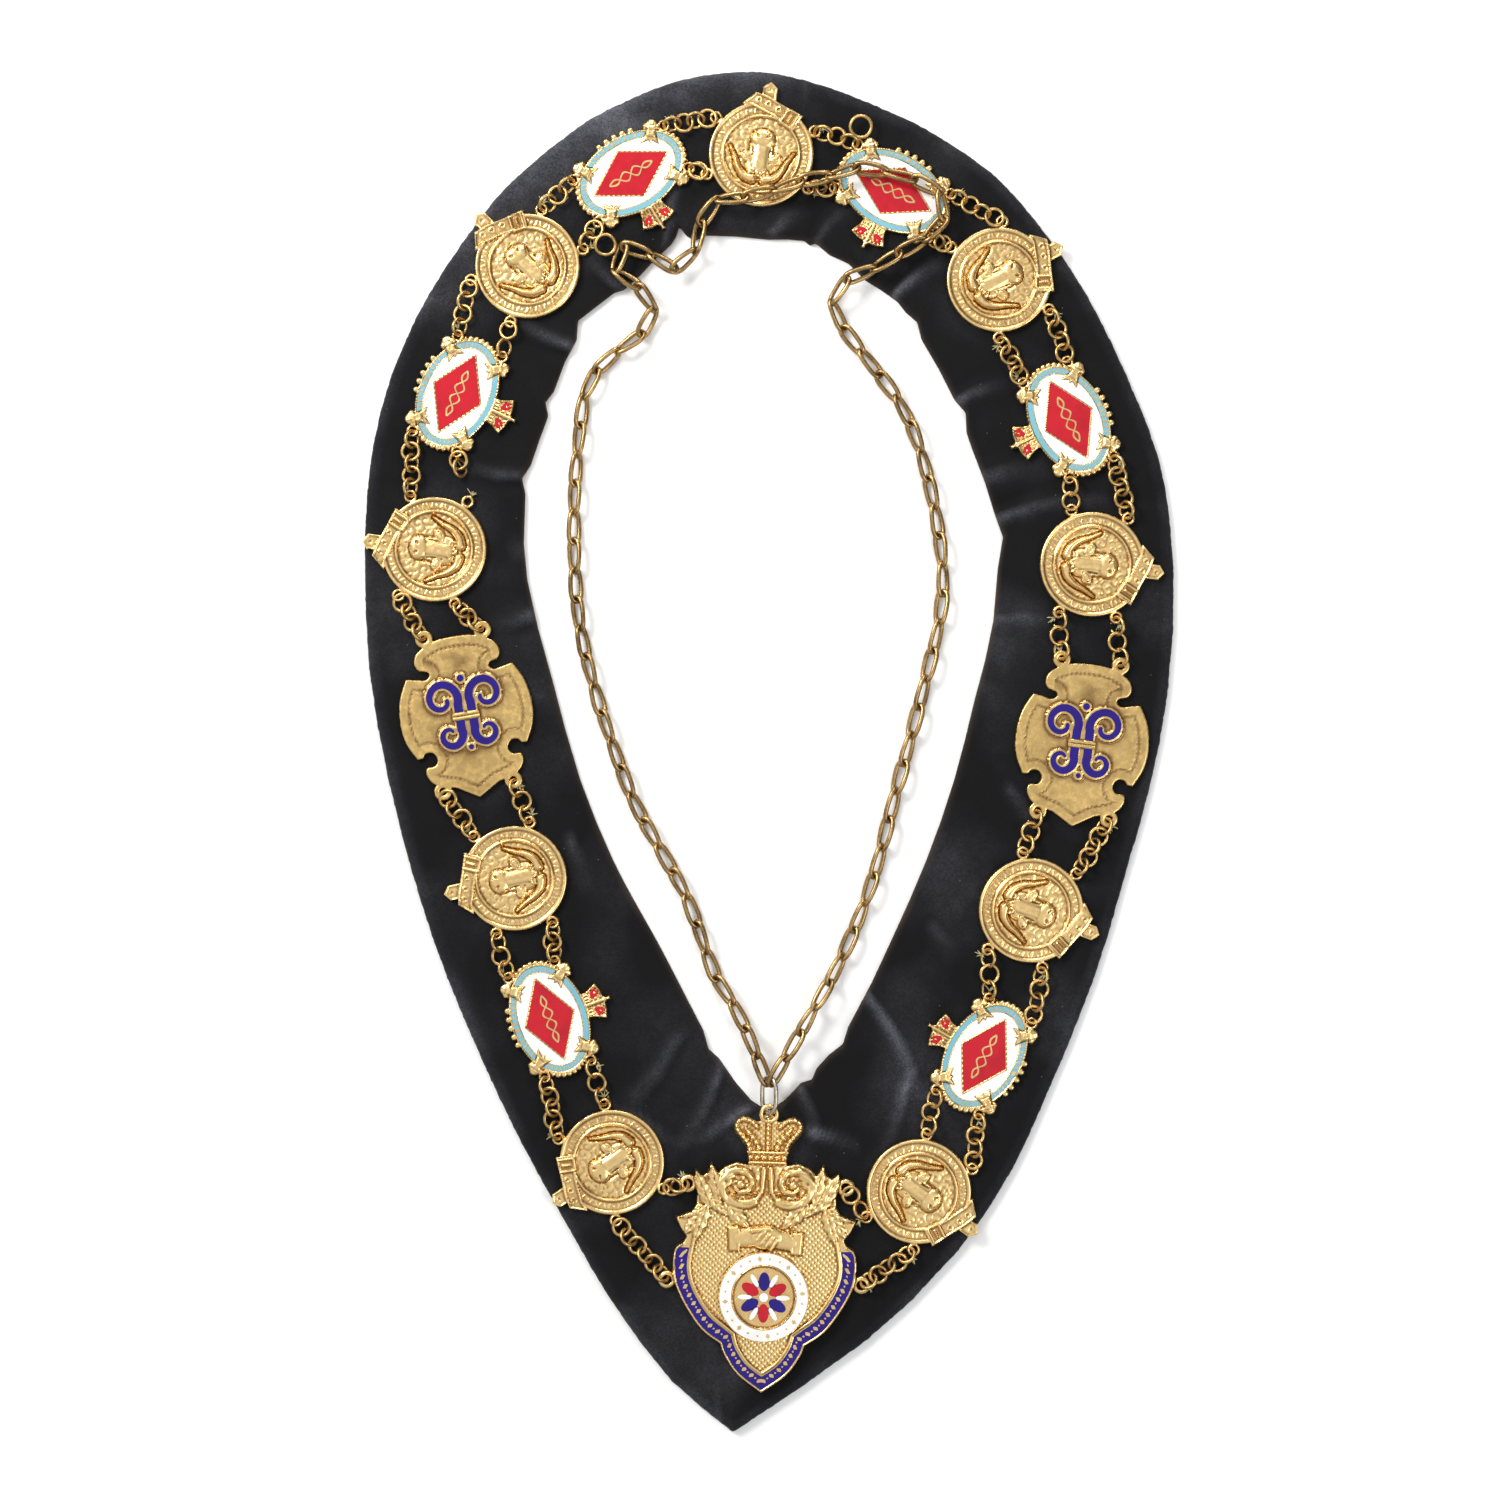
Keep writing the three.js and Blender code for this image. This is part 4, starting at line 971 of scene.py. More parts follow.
leaves = [
    {"start": (16.4, 18.0), "end": (19.6, 32.0), "width": 2.6},
    {"start": (19.0, 16.0), "end": (25.2, 29.4), "width": 2.8},
    {"start": (18.5, 21.5), "end": (10.6, 31.0), "width": 3.0},
    {"start": (20.4, 17.5), "end": (25.0, 3.6), "width": 2.6},
    {"start": (21.5, 16.5), "end": (31.4, 12.6), "width": 2.7},
    {"start": (22.0, 14.5), "end": (28.6, 6.4), "width": 2.4},
    {"start": (14.8, 18.4), "end": (5.6, 9.4), "width": 3.0},
    {"start": (20.6, 20.4), "end": (13.0, 13.4), "width": 2.2},
]


def spiralPoints():
    cx, cy = jewel["spiral"]
    spiral = []
    for t in np.linspace(-2.2, 5.6, 34):
        r = 8.2 * (1 - (t + 2.2) / 10.6)
        spiral.append((cx + r * math.cos(t), cy + r * math.sin(t) * 0.9))
    return spiral


stemLine = smoothLine([(1.2, 30.2), (1.4, 26.0), (1.9, 22.0), (4.2, 18.6)], 3)
spiralLine = spiralPoints()


def jewelOutline(x, y):
    return withLugs(union(polygonAt(x, y, jewelLine), polygonAt(x, y, crownLine)), x, y, jewel)


def blueBandAt(x, y):
    band = np.maximum(polygonAt(x, y, jewelLine) + 0.95, -polygonAt(x, y, innerLine) + 1.15)
    return np.maximum(band, y - 2.0)


# small lozenges and dots along the blue band
def bandLozengesAt(x, y):
    mid = np.abs(polygonAt(x, y, jewelLine) + 3.2)
    along = np.mod(-np.abs(x) * 0.62 - y * 0.78, 3.2) - 1.6
    lozenge = np.abs(along) * 0.8 + mid * 0.55 - 0.62
    dot = np.hypot(np.abs(along) - 1.6, mid) - 0.34
    return np.where(blueBandAt(x, y) < -0.5, np.minimum(lozenge, dot), 1.0)


crownArches = [
    {"line": [(6.3, 36.6), (7.2, 39.2), (9.2, 41.6), (11.0, 44.0), (10.9, 46.2), (8.8, 47.3), (6.2, 46.7),
              (3.8, 44.6)], "ridge": 0.9, "bead": 0.6, "gap": 1.6},
    {"line": [(3.2, 37.4), (4.5, 40.0), (6.4, 42.2), (8.0, 44.2)], "ridge": 0.5, "bead": 0.95, "gap": 2.1},
    {"line": [(0, 37.2), (0, 42), (0, 47.4)], "ridge": 0.9, "bead": 0.75, "gap": 1.7},
]


def beadsAlong(line, gap):
    table = np.array(line)
    run = np.concatenate([[0], np.cumsum(np.hypot(*np.diff(table, axis=0).T))])
    wanted = np.arange(0, run[-1], gap)
    return list(zip(np.interp(wanted, run, table[:, 0]), np.interp(wanted, run, table[:, 1])))


# beaded arches over a recessed ground, above a band with a row of oval bosses
def crownHeight(x, y, h):
    side = np.abs(x)
    on = (polygonAt(x, y, crownLine) < 0) & (y > 31)
    low = 1.8
    crown = low + 0.12 * np.cos(x * 3.4) * np.cos(y * 3.4)
    crown = raised(crown, np.abs(y - 32.3) - 0.55, low, 1.1, 0.5)
    crown = raised(crown, np.abs(y - 35.9) - 0.5, low, 1.05, 0.45)
    crown = raised(crown, np.hypot((np.mod(x, 2.4) - 1.2) * 0.75, y - 34.1) - 0.8, low, 0.9, 0.6)
    for arch in crownArches:
        line = smoothLine(arch["line"], 4)
        crown = raised(crown, strokeAt(side, y, line, arch["ridge"]), low, 0.9, arch["ridge"])
        for bx, by in beadsAlong(line, arch["gap"]):
            crown = raised(crown, circleAt(side, y, bx, by, arch["bead"]), low + 0.5, 0.95, arch["bead"])
    return np.where(on, crown, h)


# two cuffs, the backs of two hands, the clasp between them, four fingers and a thumb
def handsHeight(x, y, h):
    low = 2.3
    parts = [
        (boxAt(x, y, -10.9, 5.6, 2.0, 4.3, 0.06, 0.4), 0.9, 0.8),
        (boxAt(x, y, 11.0, 4.3, 2.0, 4.0, -0.08, 0.4), 0.9, 0.8),
        (segmentAt(x, y, (-9.0, 5.8), (-3.0, 6.6), 3.2, 3.6), 1.05, 2.4),
        (segmentAt(x, y, (9.2, 4.6), (3.0, 6.0), 3.0, 3.5), 1.05, 2.4),
        (ellipseAt(x, y, 6.4, 4.3, 0.4, 6.2), 1.3, 2.6),
    ]
    for d, rise, width in parts:
        h = raised(h, d, low, rise, width)
    for k in range(4):
        knuckle, tip = (-0.4 + 1.5 * k, 8.6 - 1.0 * k), (-3.2 + 1.7 * k, 5.2 - 1.1 * k)
        h = raised(h, segmentAt(x, y, knuckle, tip, 0.72, 0.62), low + 0.6, 0.95, 0.6)
    h = raised(h, segmentAt(x, y, (-4.6, 8.6), (1.8, 9.4), 0.95, 0.75), low + 0.5, 0.95, 0.7)
    h = raised(h, np.abs(np.abs(x) - 9.2) + np.where(np.abs(y - 5.2) < 3.9, -0.35, 9.0), low + 0.4, 0.7, 0.3)
    return h


def jewelHeight(x, y):
    j = jewel
    side = np.abs(x)
    field = polygonAt(x, y, innerLine)
    stipple = 0.16 * np.cos(x * 3.1 + np.sin(y * 1.3) * 0.6) * np.cos(y * 3.1 + np.sin(x * 1.1) * 0.6)
    h = np.where(field < 0, j["field"] + stipple, j["plate"] - 0.1)
    h = raised(h, np.abs(field - 0.1) - 0.55, j["field"], 0.75, 0.5)
    h = np.where(y < 3.2, raised(h, np.abs(polygonAt(x, y, jewelLine) + 0.5) - 0.5, 2.2, 0.6, 0.4), h)
    h = sunk(h, blueBandAt(x, y), 0.25, 0.2)
    top = (y > 12) & (field > 0)
    h = np.where(top, 2.0 + 0.1 * np.cos(x * 2.4) * np.cos(y * 2.2), h)
    for leaf in leaves:
        rise = leafRise(side, y, leaf["start"], leaf["end"], leaf["width"], 1.0)
        h = np.maximum(h, np.where(y > 2, 2.1 + rise, 0))
    h = raised(h, strokeAt(side, y, spiralLine, 1.75, 0.8), 2.1, 1.1, 1.2)
    cx, cy = j["spiral"]
    ribs = 0.14 * np.cos(8 * np.arctan2(y - cy, side - cx) + np.hypot(side - cx, y - cy) * 1.6)
    h = np.where(circleAt(side, y, cx, cy, 8.0) < 0, h + ribs, h)
    h = raised(h, strokeAt(side, y, stemLine, 0.9, 0.7), 2.1, 0.9, 0.7)
    h = raised(h, circleAt(side, y, cx, cy, 1.5), 2.4, 0.9, 1.2)
    h = crownHeight(x, y, h)
    h = handsHeight(x, y, h)
    outer = polygonAt(x, y, jewelLine)
    for lx, ly in j["lugs"]:
        lug = np.hypot(x - lx, y - ly) - j["lugRadius"]
        h = np.where((lug < 0) & (outer > 0), 1.0 + 0.9 * np.sqrt(np.clip(-lug / 1.6, 0, 1)), h)
    return softEdge(h, jewelOutline(x, y), 0.5)


roundel = {
    "radius": 15.8, "inner": 11.1, "top": 1.25, "cell": 0.27, "dots": 24, "dotsAt": 13.5, "y": -14.36,
    "level": 2.8, "box": (-16.2, -16.2, 16.2, 16.2), "flowerBox": (-9.8, -9.8, 9.8, 9.8),
}
# six petals, red and blue in turn, with white leaves between them and a white heart
flower = {
    "redEnamel": {"petals": 3, "turn": 30, "middle": 5.5, "long": 3.3, "wide": 1.9, "heart": 0},
    "blueEnamel": {"petals": 3, "turn": 90, "middle": 5.5, "long": 3.3, "wide": 1.9, "heart": 0},
    "whiteEnamel": {"petals": 6, "turn": 0, "middle": 6.6, "long": 2.5, "wide": 0.85, "heart": 1.5},
}


def petalsAt(x, y, part):
    step = 2 * math.pi / part["petals"]
    turn = np.arctan2(y, x) - math.radians(part["turn"])
    folded = np.mod(turn + step / 2, step) - step / 2
    away = np.hypot(x, y)
    u, v = away * np.cos(folded), away * np.sin(folded)
    petal = ellipseAt(u, v, part["long"], part["wide"], part["middle"], 0)
    return np.minimum(petal, away - part["heart"]) if part["heart"] else petal


def whiteRing(x, y):
    away = np.hypot(x, y)
    return np.maximum(away - roundel["radius"] + 0.45, roundel["inner"] + 0.35 - away)


def roundelShells():
    r = roundel
    gilt = cutPlate(
        lambda x, y: circleAt(x, y, 0, 0, r["radius"]),
        lambda x, y: softEdge(roundelBase(x, y), circleAt(x, y, 0, 0, r["radius"]), 0.35),
        r["box"], r["cell"])
    white = cutPlate(whiteRing, flatTop(r["top"] + 0.06), r["box"], r["cell"] * 1.6, 0.7)
    shells = [(gilt, "gilt"), (white, "whiteEnamel")]
    for finish, part in flower.items():
        edge = cutPlate(
            lambda x, y: petalsAt(x, y, part) - 0.32, flatTop(1.15), r["flowerBox"], r["cell"], 0.4)
        petals = cutPlate(lambda x, y: petalsAt(x, y, part), flatTop(1.23), r["flowerBox"], 0.22, 0.5)
        shells += [(edge, "gilt"), (petals, finish)]
    dots = cutPlate(roundelDots, flatTop(r["top"] + 0.16), (-16, -16, 16, 16), 0.24, 1.0)
    return shells + [(dots, "gilt")]


def roundelBase(x, y):
    r = roundel
    away = np.hypot(x, y)
    h = np.full(np.shape(x), 0.95)
    h = raised(h, np.abs(away - r["inner"]) - 0.35, 0.8, 0.62, 0.25)
    h = raised(h, r["radius"] - 0.42 - away, 0.8, 0.5, 0.2)
    ground = 0.65 + 0.06 * np.cos(x * 5) * np.cos(y * 5)
    return np.where(away < r["inner"] - 0.3, ground, h)


# a ring of dots, every third one a small lozenge
def roundelDots(x, y):
    step = 2 * math.pi / roundel["dots"]
    turn = np.arctan2(y, x)
    number = np.floor(turn / step)
    along = (np.mod(turn, step) - step / 2) * roundel["dotsAt"]
    across = np.hypot(x, y) - roundel["dotsAt"]
    dot = np.hypot(along, across) - 0.36
    lozenge = np.abs(along) + 0.7 * np.abs(across) - 0.75
    return np.where(np.mod(number, 3) == 0, lozenge * 0.8, dot)


# badges in their places, clockwise from the nape: percent of the half width and half length
collarHalf = {"width": 141.5, "length": 238.0}
badgeLevel = 3.7
badges = [
    {"kind": "medallion", "x": -2, "y": 87.6, "turn": 82},
    {"kind": "oval", "x": 30.4, "y": 82.2, "turn": -118},
    {"kind": "medallion", "x": 56.6, "y": 69.2, "turn": 28},
    {"kind": "oval", "x": 73.7, "y": 48.7, "turn": 206},
    {"kind": "medallion", "x": 79.6, "y": 27.5, "turn": -7},
    {"kind": "plate", "x": 77.1, "y": 1.8, "turn": 83.2},
    {"kind": "medallion", "x": 64.5, "y": -23.2, "turn": -20},
    {"kind": "oval", "x": 52.9, "y": -44.6, "turn": 150},
    {"kind": "medallion", "x": 36.8, "y": -64.4, "turn": -36},
    {"kind": "jewel", "x": -1.1, "y": -73.7, "turn": 88.3},
    {"kind": "medallion", "x": -38.8, "y": -60.1, "turn": 215},
    {"kind": "oval", "x": -54.1, "y": -39.1, "turn": 20},
    {"kind": "medallion", "x": -62.8, "y": -18.5, "turn": 193},
    {"kind": "plate", "x": -74.8, "y": 6, "turn": 99.5},
    {"kind": "medallion", "x": -82.6, "y": 29.7, "turn": 173},
    {"kind": "oval", "x": -76.9, "y": 52.5, "turn": -25.5},
    {"kind": "medallion", "x": -59.6, "y": 71.2, "turn": 135},
    {"kind": "oval", "x": -34.1, "y": 84.7, "turn": -59},
]
jewelBadge = next(badge for badge in badges if badge["kind"] == "jewel")
# which way each kind faces in its own drawing, its lugs, and how far it holds the velvet down
kinds = {
    "medallion": {"forward": 90, "lugs": medallion["lugs"], "reach": 19},
    "oval": {"forward": 0, "lugs": oval["lugs"], "reach": 19},
    "plate": {"forward": 90, "lugs": plate["lugs"], "reach": 27},
    "jewel": {"forward": 90, "lugs": jewel["lugs"], "reach": 40},
}


def percentPoint(x, y, z=0.0):
    return Vector((x / 100 * collarHalf["width"], y / 100 * collarHalf["length"], z))


def badgePlace(badge, shift):
    turn = math.radians(badge["turn"] - kinds[badge["kind"]]["forward"])
    at = percentPoint(badge["x"], badge["y"], badgeLevel) + shift
    return Matrix.Translation(at) @ Matrix.Rotation(turn, 4, "Z")


# the whole model is centred on its own box, and the round roundel shows by how much it was moved
def modelShift():
    low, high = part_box("jewel_roundel")
    found = (low + high) / (2 * mm)
    expected = badgePlace(jewelBadge, Vector((0, 0, 0))) @ Vector((0, roundel["y"], 0))
    return Vector((found.x - expected.x, found.y - expected.y, 0))


shift = modelShift()
print("model shift in mm:", round(shift.x, 3), round(shift.y, 3))

medallionBox = (-23.2, -20, 23.2, 25.4)
medallionMesh = joinShells("medallion", [
    (cutPlate(medallionOutline, medallionHeight, medallionBox, medallion["cell"]), "gilt")])
print("medallion mesh ready")

ovalBox = (-16.4, -21.8, 23, 21.8)
ovalMesh = joinShells("oval", [
    (cutPlate(ovalOutline, ovalHeight, ovalBox, oval["cell"]), "gilt"),
    (cutPlate(whiteAt, flatTop(1.46), ovalBox, 0.4, 0.9), "whiteEnamel"),
    (cutPlate(skyAt, flatTop(1.5), ovalBox, 0.4, 0.9), "skyEnamel"),
    (cutPlate(redLozengeAt, flatTop(1.52), ovalBox, 0.4, 0.9), "redEnamel"),
    (cutPlate(redCrownAt, flatTop(1.5), (12, -8, 22, 8), 0.25, 0.9), "redEnamel"),
    (cutPlate(twistAt, flatTop(1.66), (-4, -10, 4, 10), 0.22, 1.3), "gilt"),
    (cutPlate(bandMarksAt, flatTop(1.6), ovalBox, 0.25, 1.3), "gilt"),
])
print("oval mesh ready")

plateBox = (-24.4, -32, 24.4, 31.2)
plateMesh = joinShells("plate", [
    (cutPlate(plateOutline, plateHeight, plateBox, plate["cell"], 0.0, plateStain), "plateGilt"),
    (cutPlate(blueScrollAt, flatTop(2.32), plateBox, 0.35, 1.8), "blueEnamel"),
])
print("plate mesh ready")

jewelBox = (-37.8, -49, 37.8, 50.2)
eyeCentre = Vector((0, jewel["eyeY"], jewel["eyeLevel"]))
eyeRing = [eyeCentre + Vector((math.cos(t), math.sin(t), 0)) * jewel["eyeRadius"]
           for t in np.linspace(0, 2 * math.pi, 28, endpoint=False)]
jewelMesh = joinShells("jewel", [
    (cutPlate(jewelOutline, jewelHeight, jewelBox, jewel["cell"]), "gilt"),
    (cutPlate(blueBandAt, flatTop(2.5), jewelBox, 0.4, 1.9), "blueEnamel"),
    (cutPlate(bandLozengesAt, flatTop(2.6), jewelBox, 0.26, 2.2), "gilt"),
    (wireLoop(eyeRing, [Vector((0, 0, 1))] * len(eyeRing), jewel["eyeWire"], 10), "gilt"),
])
roundelMesh = joinShells("roundel", roundelShells())
print("jewel meshes ready")

meshes = {"medallion": medallionMesh, "oval": ovalMesh, "plate": plateMesh, "jewel": jewelMesh}
for number, badge in enumerate(badges, 1):
    badge["number"] = number
    badge["place"] = badgePlace(badge, shift)
    node = badge["kind"] if badge["kind"] == "jewel" else f"{badge['kind']}_{number}"
    addPiece(f"{node}_relief", meshes[badge["kind"]], [node], badge["place"])
jewelPlace = jewelBadge["place"]
roundelPlace = jewelPlace @ Matrix.Translation((0, roundel["y"], roundel["level"]))
addPiece("roundel_enamelled", roundelMesh, ["jewel_roundel"], roundelPlace)
print("badges placed")


# velvet collar
collar = {
    "thickness": 3.4, "edge": 2.4, "lip": 0.7, "around": 1040, "across": 52, "ripple": 0.14, "rayLevel": 0.3,
    "wornWidth": 2.2, "edgeShare": 0.55, "rippleNoise": (14, 3.1), "ragged": 0.3, "raggedNoise": (1.7, 9.0),
    "foldScale": 1.2, "lowest": 0.4,
}
# how pale the pile is painted, all of it painted sheen: overall, at the upper left, at the rim, in brushed
# patches and as painted highlights on creases
paintedSheenLevels = {
    "base": 0.012, "glow": 1.15, "glowAt": (-62, 205), "glowReach": 85, "glowBand": 22, "rims": 0.7,
    "rimBand": 5, "patches": 0.32, "patchNoise": (30, 7.7), "creases": 0.6,
}
# folds and creases: x and y of the start and of the end, width, and how far it stands up or sinks
folds = [
    (15.6, 176, 28, 191, 1.6, 1.0),
    (2, 182, 14, 191, 2.4, 0.7),
    (43.5, 159, 62, 171.5, 1.9, 1.3),
    (63, 120.5, 84, 129, 1.9, 1.2),
    (76, 80, 121, 88, 2.1, 1.4),
    (76, 96, 100, 98, 3.2, 0.8),
    (75, 45.5, 101, 44, 2.2, 1.1),
    (72, 24, 84, 16, 2.8, 0.6),
    (-49, 160, -64, 175, 1.9, 1.3),
    (-67, 141, -88, 151, 1.9, 1.3),
    (-81, 96.5, -110, 101, 1.8, 1.2),
    (-78, 49.5, -99, 44, 2.2, 1.1),
    (-78, 72, -92, 70, 3.0, 0.6),
    (-36, 178, -27, 213, 1.8, 0.9),
    (-48, 190, -56, 198, 2.0, 0.8),
    (-16, -108, -32.5, -139, 2.0, 1.3),
    (-10, -126, -34, -138.5, 1.9, 1.1),
    (-33, -102, -51, -124, 2.6, 0.9),
    (-51.5, -126, -33, -138, 2.0, 0.9),
    (31, -81, 54, -123, 2.0, 1.3),
    (10, -116, 17.5, -136, 1.9, 1.2),
    (16, -133, 33, -138.5, 1.9, 1.0),
    (47.5, -118, 33, -150, 2.2, 1.0),
    (-68.5, -32, -63.5, -50, 2.4, 0.7),
    (85, -14, 93, -30, 2.4, 0.7),
    (58, -62, 66, -74, 2.6, 0.6),
    (9.8, 238, 9, 224, 1.0, -0.9),
    (-13, -240, -14, -216, 1.2, -0.8),
]


def foldRise(x, y, startX, startY, endX, endY, width, rise):
    dx, dy = endX - startX, endY - startY
    length = math.hypot(dx, dy)
    u = ((x - startX) * dx + (y - startY) * dy) / length ** 2
    v = (-(x - startX) * dy + (y - startY) * dx) / length
    bend = v - 0.06 * length * np.sin(np.pi * np.clip(u, 0, 1))
    fade = np.clip(1 - u, 0, 1) ** 0.7 * np.clip(1 + (u + 0.05) * 4, 0, 1)
    wider = width * (1 + 0.6 * np.clip(u, 0, 1))
    ridge = np.exp(-(bend / wider) ** 2) - 0.6 * np.exp(-((bend - 1.8 * wider) / wider) ** 2)
    return rise * ridge * fade


def noiseField(x, y, size, level):
    values = [noise.noise(Vector((a / size, b / size, level))) for a, b in zip(x.ravel(), y.ravel())]
    return np.array(values).reshape(x.shape)


# inner and outer edge points, seen from the middle of the neck opening
def collarEdges():
    node = frame["nodes"]["velvet_collar"].data
    tree = BVHTree.FromPolygons([v.co for v in node.vertices], [p.vertices for p in node.polygons])

    def edgesAt(turn):
        way = Vector((math.sin(turn), math.cos(turn), 0))
        start = Vector((0, 0, collar["rayLevel"] * mm))
        inner = tree.ray_cast(start, way)[0]
        outer = tree.ray_cast(inner + way * 0.0005, way)[0]
        return np.array(inner[:2]) / mm, np.array(outer[:2]) / mm

    coarse = np.linspace(0, 2 * math.pi, 1441)
    pairs = [edgesAt(t) for t in coarse]
    middle = np.array([0.35 * a + 0.65 * b for a, b in pairs])
    run = np.concatenate([[0], np.cumsum(np.hypot(*np.diff(middle, axis=0).T))])
    turns = np.interp(np.linspace(0, run[-1], collar["around"] + 1)[:-1], run, coarse)
    pairs = [edgesAt(t) for t in turns]
    return np.array([a for a, _ in pairs]), np.array([b for _, b in pairs])


def makeCollar():
    inner, outer = collarEdges()
    count, rows = collar["around"], collar["across"]
    even = np.linspace(0, 1, rows)
    closer = 0.5 - 0.5 * np.cos(np.pi * even)
    share = collar["edgeShare"] * closer + (1 - collar["edgeShare"]) * even
    flat = inner[:, None, :] * (1 - share)[None, :, None] + outer[:, None, :] * share[None, :, None]
    x, y = flat[..., 0], flat[..., 1]
    width = np.hypot(*(outer - inner).T)[:, None]
    toInner, toOuter = share[None, :] * width, (1 - share[None, :]) * width

    def rounded(away):
        t = np.clip(away / collar["edge"], 0, 1)
        return np.sqrt(1 - (1 - t) ** 2)

    lift = np.minimum(rounded(toInner), rounded(toOuter))
    z = collar["lip"] + (collar["thickness"] - collar["lip"]) * lift
    wobble = noiseField(x, y, *collar["rippleNoise"])
    z -= collar["ripple"] * (1 + wobble) * lift
    clear = np.ones_like(x)
    for badge in badges:
        at, reach = badge["place"].translation, kinds[badge["kind"]]["reach"]
        clear = np.minimum(clear, np.clip((np.hypot(x - at.x, y - at.y) - reach) / 5, 0, 1))
    creased = np.zeros_like(x)
    for fold in folds:
        rise = foldRise(x, y, *fold)
        z += collar["foldScale"] * rise * clear * np.clip(lift, 0.25, 1)
        creased += np.clip(rise, 0, 2)
    z = np.maximum(z, collar["lowest"])
    ragged = collar["ragged"] * noiseField(outer[:, 0], outer[:, 1], *collar["raggedNoise"])
    outward = (outer - inner) / width
    x[:, -1] += ragged * outward[:, 0]
    y[:, -1] += ragged * outward[:, 1]

    top = np.stack([x, y, z], -1).reshape(-1, 3)
    under = np.concatenate([np.column_stack([x[:, 0], y[:, 0]]), np.column_stack([x[:, -1], y[:, -1]])])
    points = np.vstack([top, np.column_stack([under, np.zeros(len(under))])])
    faces = []
    base = count * rows
    for k in range(count):
        n = (k + 1) % count
        for r in range(rows - 1):
            faces.append([k * rows + r, k * rows + r + 1, n * rows + r + 1, n * rows + r])
        faces.append([base + k, k * rows, n * rows, base + n])
        faces.append([k * rows + rows - 1, base + count + k, base + count + n, n * rows + rows - 1])
        faces.append([base + count + k, base + k, base + n, base + count + n])
    mesh = bpy.data.meshes.new("velvet")
    mesh.from_pydata((points * mm).tolist(), [], faces)
    mesh.polygons.foreach_set("use_smooth", [True] * len(faces))
    mesh.materials.append(finishes["velvet"])

    # painted sheen: the pile is painted pale toward the upper left rim, along the rim, in brushed patches and
    # on fold crests; it is worn brown along the inner edge
    glowX, glowY = paintedSheenLevels["glowAt"]
    glow = np.clip(1 - np.hypot(x - glowX, y - glowY) / paintedSheenLevels["glowReach"], 0, 1)
    glow = glow * np.clip(1 - toOuter / paintedSheenLevels["glowBand"], 0, 1)
    rims = 0.3 * np.clip(1 - toOuter / paintedSheenLevels["rimBand"], 0, 1) + 0.25 * np.clip(wobble, 0, 1) ** 2
    brushedSheen = np.clip(noiseField(x, y, *paintedSheenLevels["patchNoise"]) - 0.04, 0, 1)
    pale = paintedSheenLevels["base"] + paintedSheenLevels["glow"] * glow + paintedSheenLevels["rims"] * rims + paintedSheenLevels["patches"] * brushedSheen
    # painted highlight: the pile is made paler along the crests of the folds
    paintedSheen = np.clip(pale + paintedSheenLevels["creases"] * creased ** 1.3, 0, 1)
    worn = np.clip(1 - toInner / collar["wornWidth"], 0, 1) * (0.45 + 0.5 * wobble)
    for name, field in (("paintedSheen", paintedSheen), ("worn", np.clip(worn, 0, 1))):
        layer = mesh.attributes.new(name, "FLOAT", "POINT")
        values = np.concatenate([field.ravel(), np.zeros(2 * count)]).astype(np.float32)
        layer.data.foreach_set("value", values)
    return mesh


collarPiece = addPiece("collar_velvet", makeCollar(), ["velvet_collar"])
print("collar ready")


# fine ring chains between the badges
rings = {
    "radius": 3.05, "wire": 0.62, "steep": 46, "flat": 12, "pitch": 4.5, "level": 5.2, "sway": 0.55,
    "sides": 8, "steps": 20,
}
# x, y and radius of each
looseRings = {"by_oval_2": (31.9, 217.7, 3.7), "by_oval_18": (-57.0, 176.6, 3.5)}
looseLevel, looseTilt = 6.9, math.radians(9)
# of this row only the half on the later badge is left
brokenRow = {"from": 15, "row": "inner", "reach": 0.5}


def rowLugs(badge, towards):
    centre = badge["place"].translation
    travel = (towards - centre).normalized()
    outward = centre.normalized()
    lugs = [badge["place"] @ Vector((lx, ly, 0)) for lx, ly in kinds[badge["kind"]]["lugs"]]
    nearest = sorted(lugs, key=lambda p: -(p - centre).dot(travel))[:2]
    nearest.sort(key=lambda p: -p.dot(outward))
    return {"outer": nearest[0], "inner": nearest[1]}


def ringShell(centre, along, tilt, radius, wire):
    side = Vector((-along.y, along.x, 0)) * math.cos(tilt) + Vector((0, 0, 1)) * math.sin(tilt)
    steps = rings["steps"]
    line = [centre + along * (radius * math.cos(t)) + side * (radius * math.sin(t))
            for t in np.linspace(0, 2 * math.pi, steps, endpoint=False)]
    return wireLoop(line, [along.cross(side).normalized()] * steps, wire, rings["sides"])


def ringRow(start, end, seed):
    picker = random.Random(seed)
    run = end - start
    run.z = 0
    length, along = run.length, run.normalized()
    across = Vector((-along.y, along.x, 0))
    spare = max(length - 2 * rings["radius"], 0)
    count = max(2, round(spare / rings["pitch"]) + 1)
    shells = []
    for k in range(count):
        at = start + along * (rings["radius"] + spare * k / (count - 1))
        inner = 0 < k < count - 1
        at += across * (picker.uniform(-1, 1) * rings["sway"] if inner else 0)
        at.z = rings["level"] + picker.uniform(-0.15, 0.15)
        tilt = math.radians((-rings["flat"] if k % 2 else rings["steep"]) + picker.uniform(-6, 6))
        radius = rings["radius"] * picker.uniform(0.95, 1.04)
        shells.append((ringShell(at, along, tilt, radius, rings["wire"]), "ringBrass"))
    return shells


def makeRingRows():
    for k, badge in enumerate(badges):
        after = badges[(k + 1) % len(badges)]
        here = rowLugs(badge, after["place"].translation)
        there = rowLugs(after, badge["place"].translation)
        for row in ("outer", "inner"):
            node = f"rings_{badge['number']}_to_{after['number']}_{row}"
            start = here[row]
            if brokenRow["from"] == badge["number"] and brokenRow["row"] == row:
                start = here[row].lerp(there[row], 1 - brokenRow["reach"])
            shells = ringRow(start, there[row], 40 * k + len(row))
            addPiece(f"{node}_linked", joinShells(node, shells), [node])


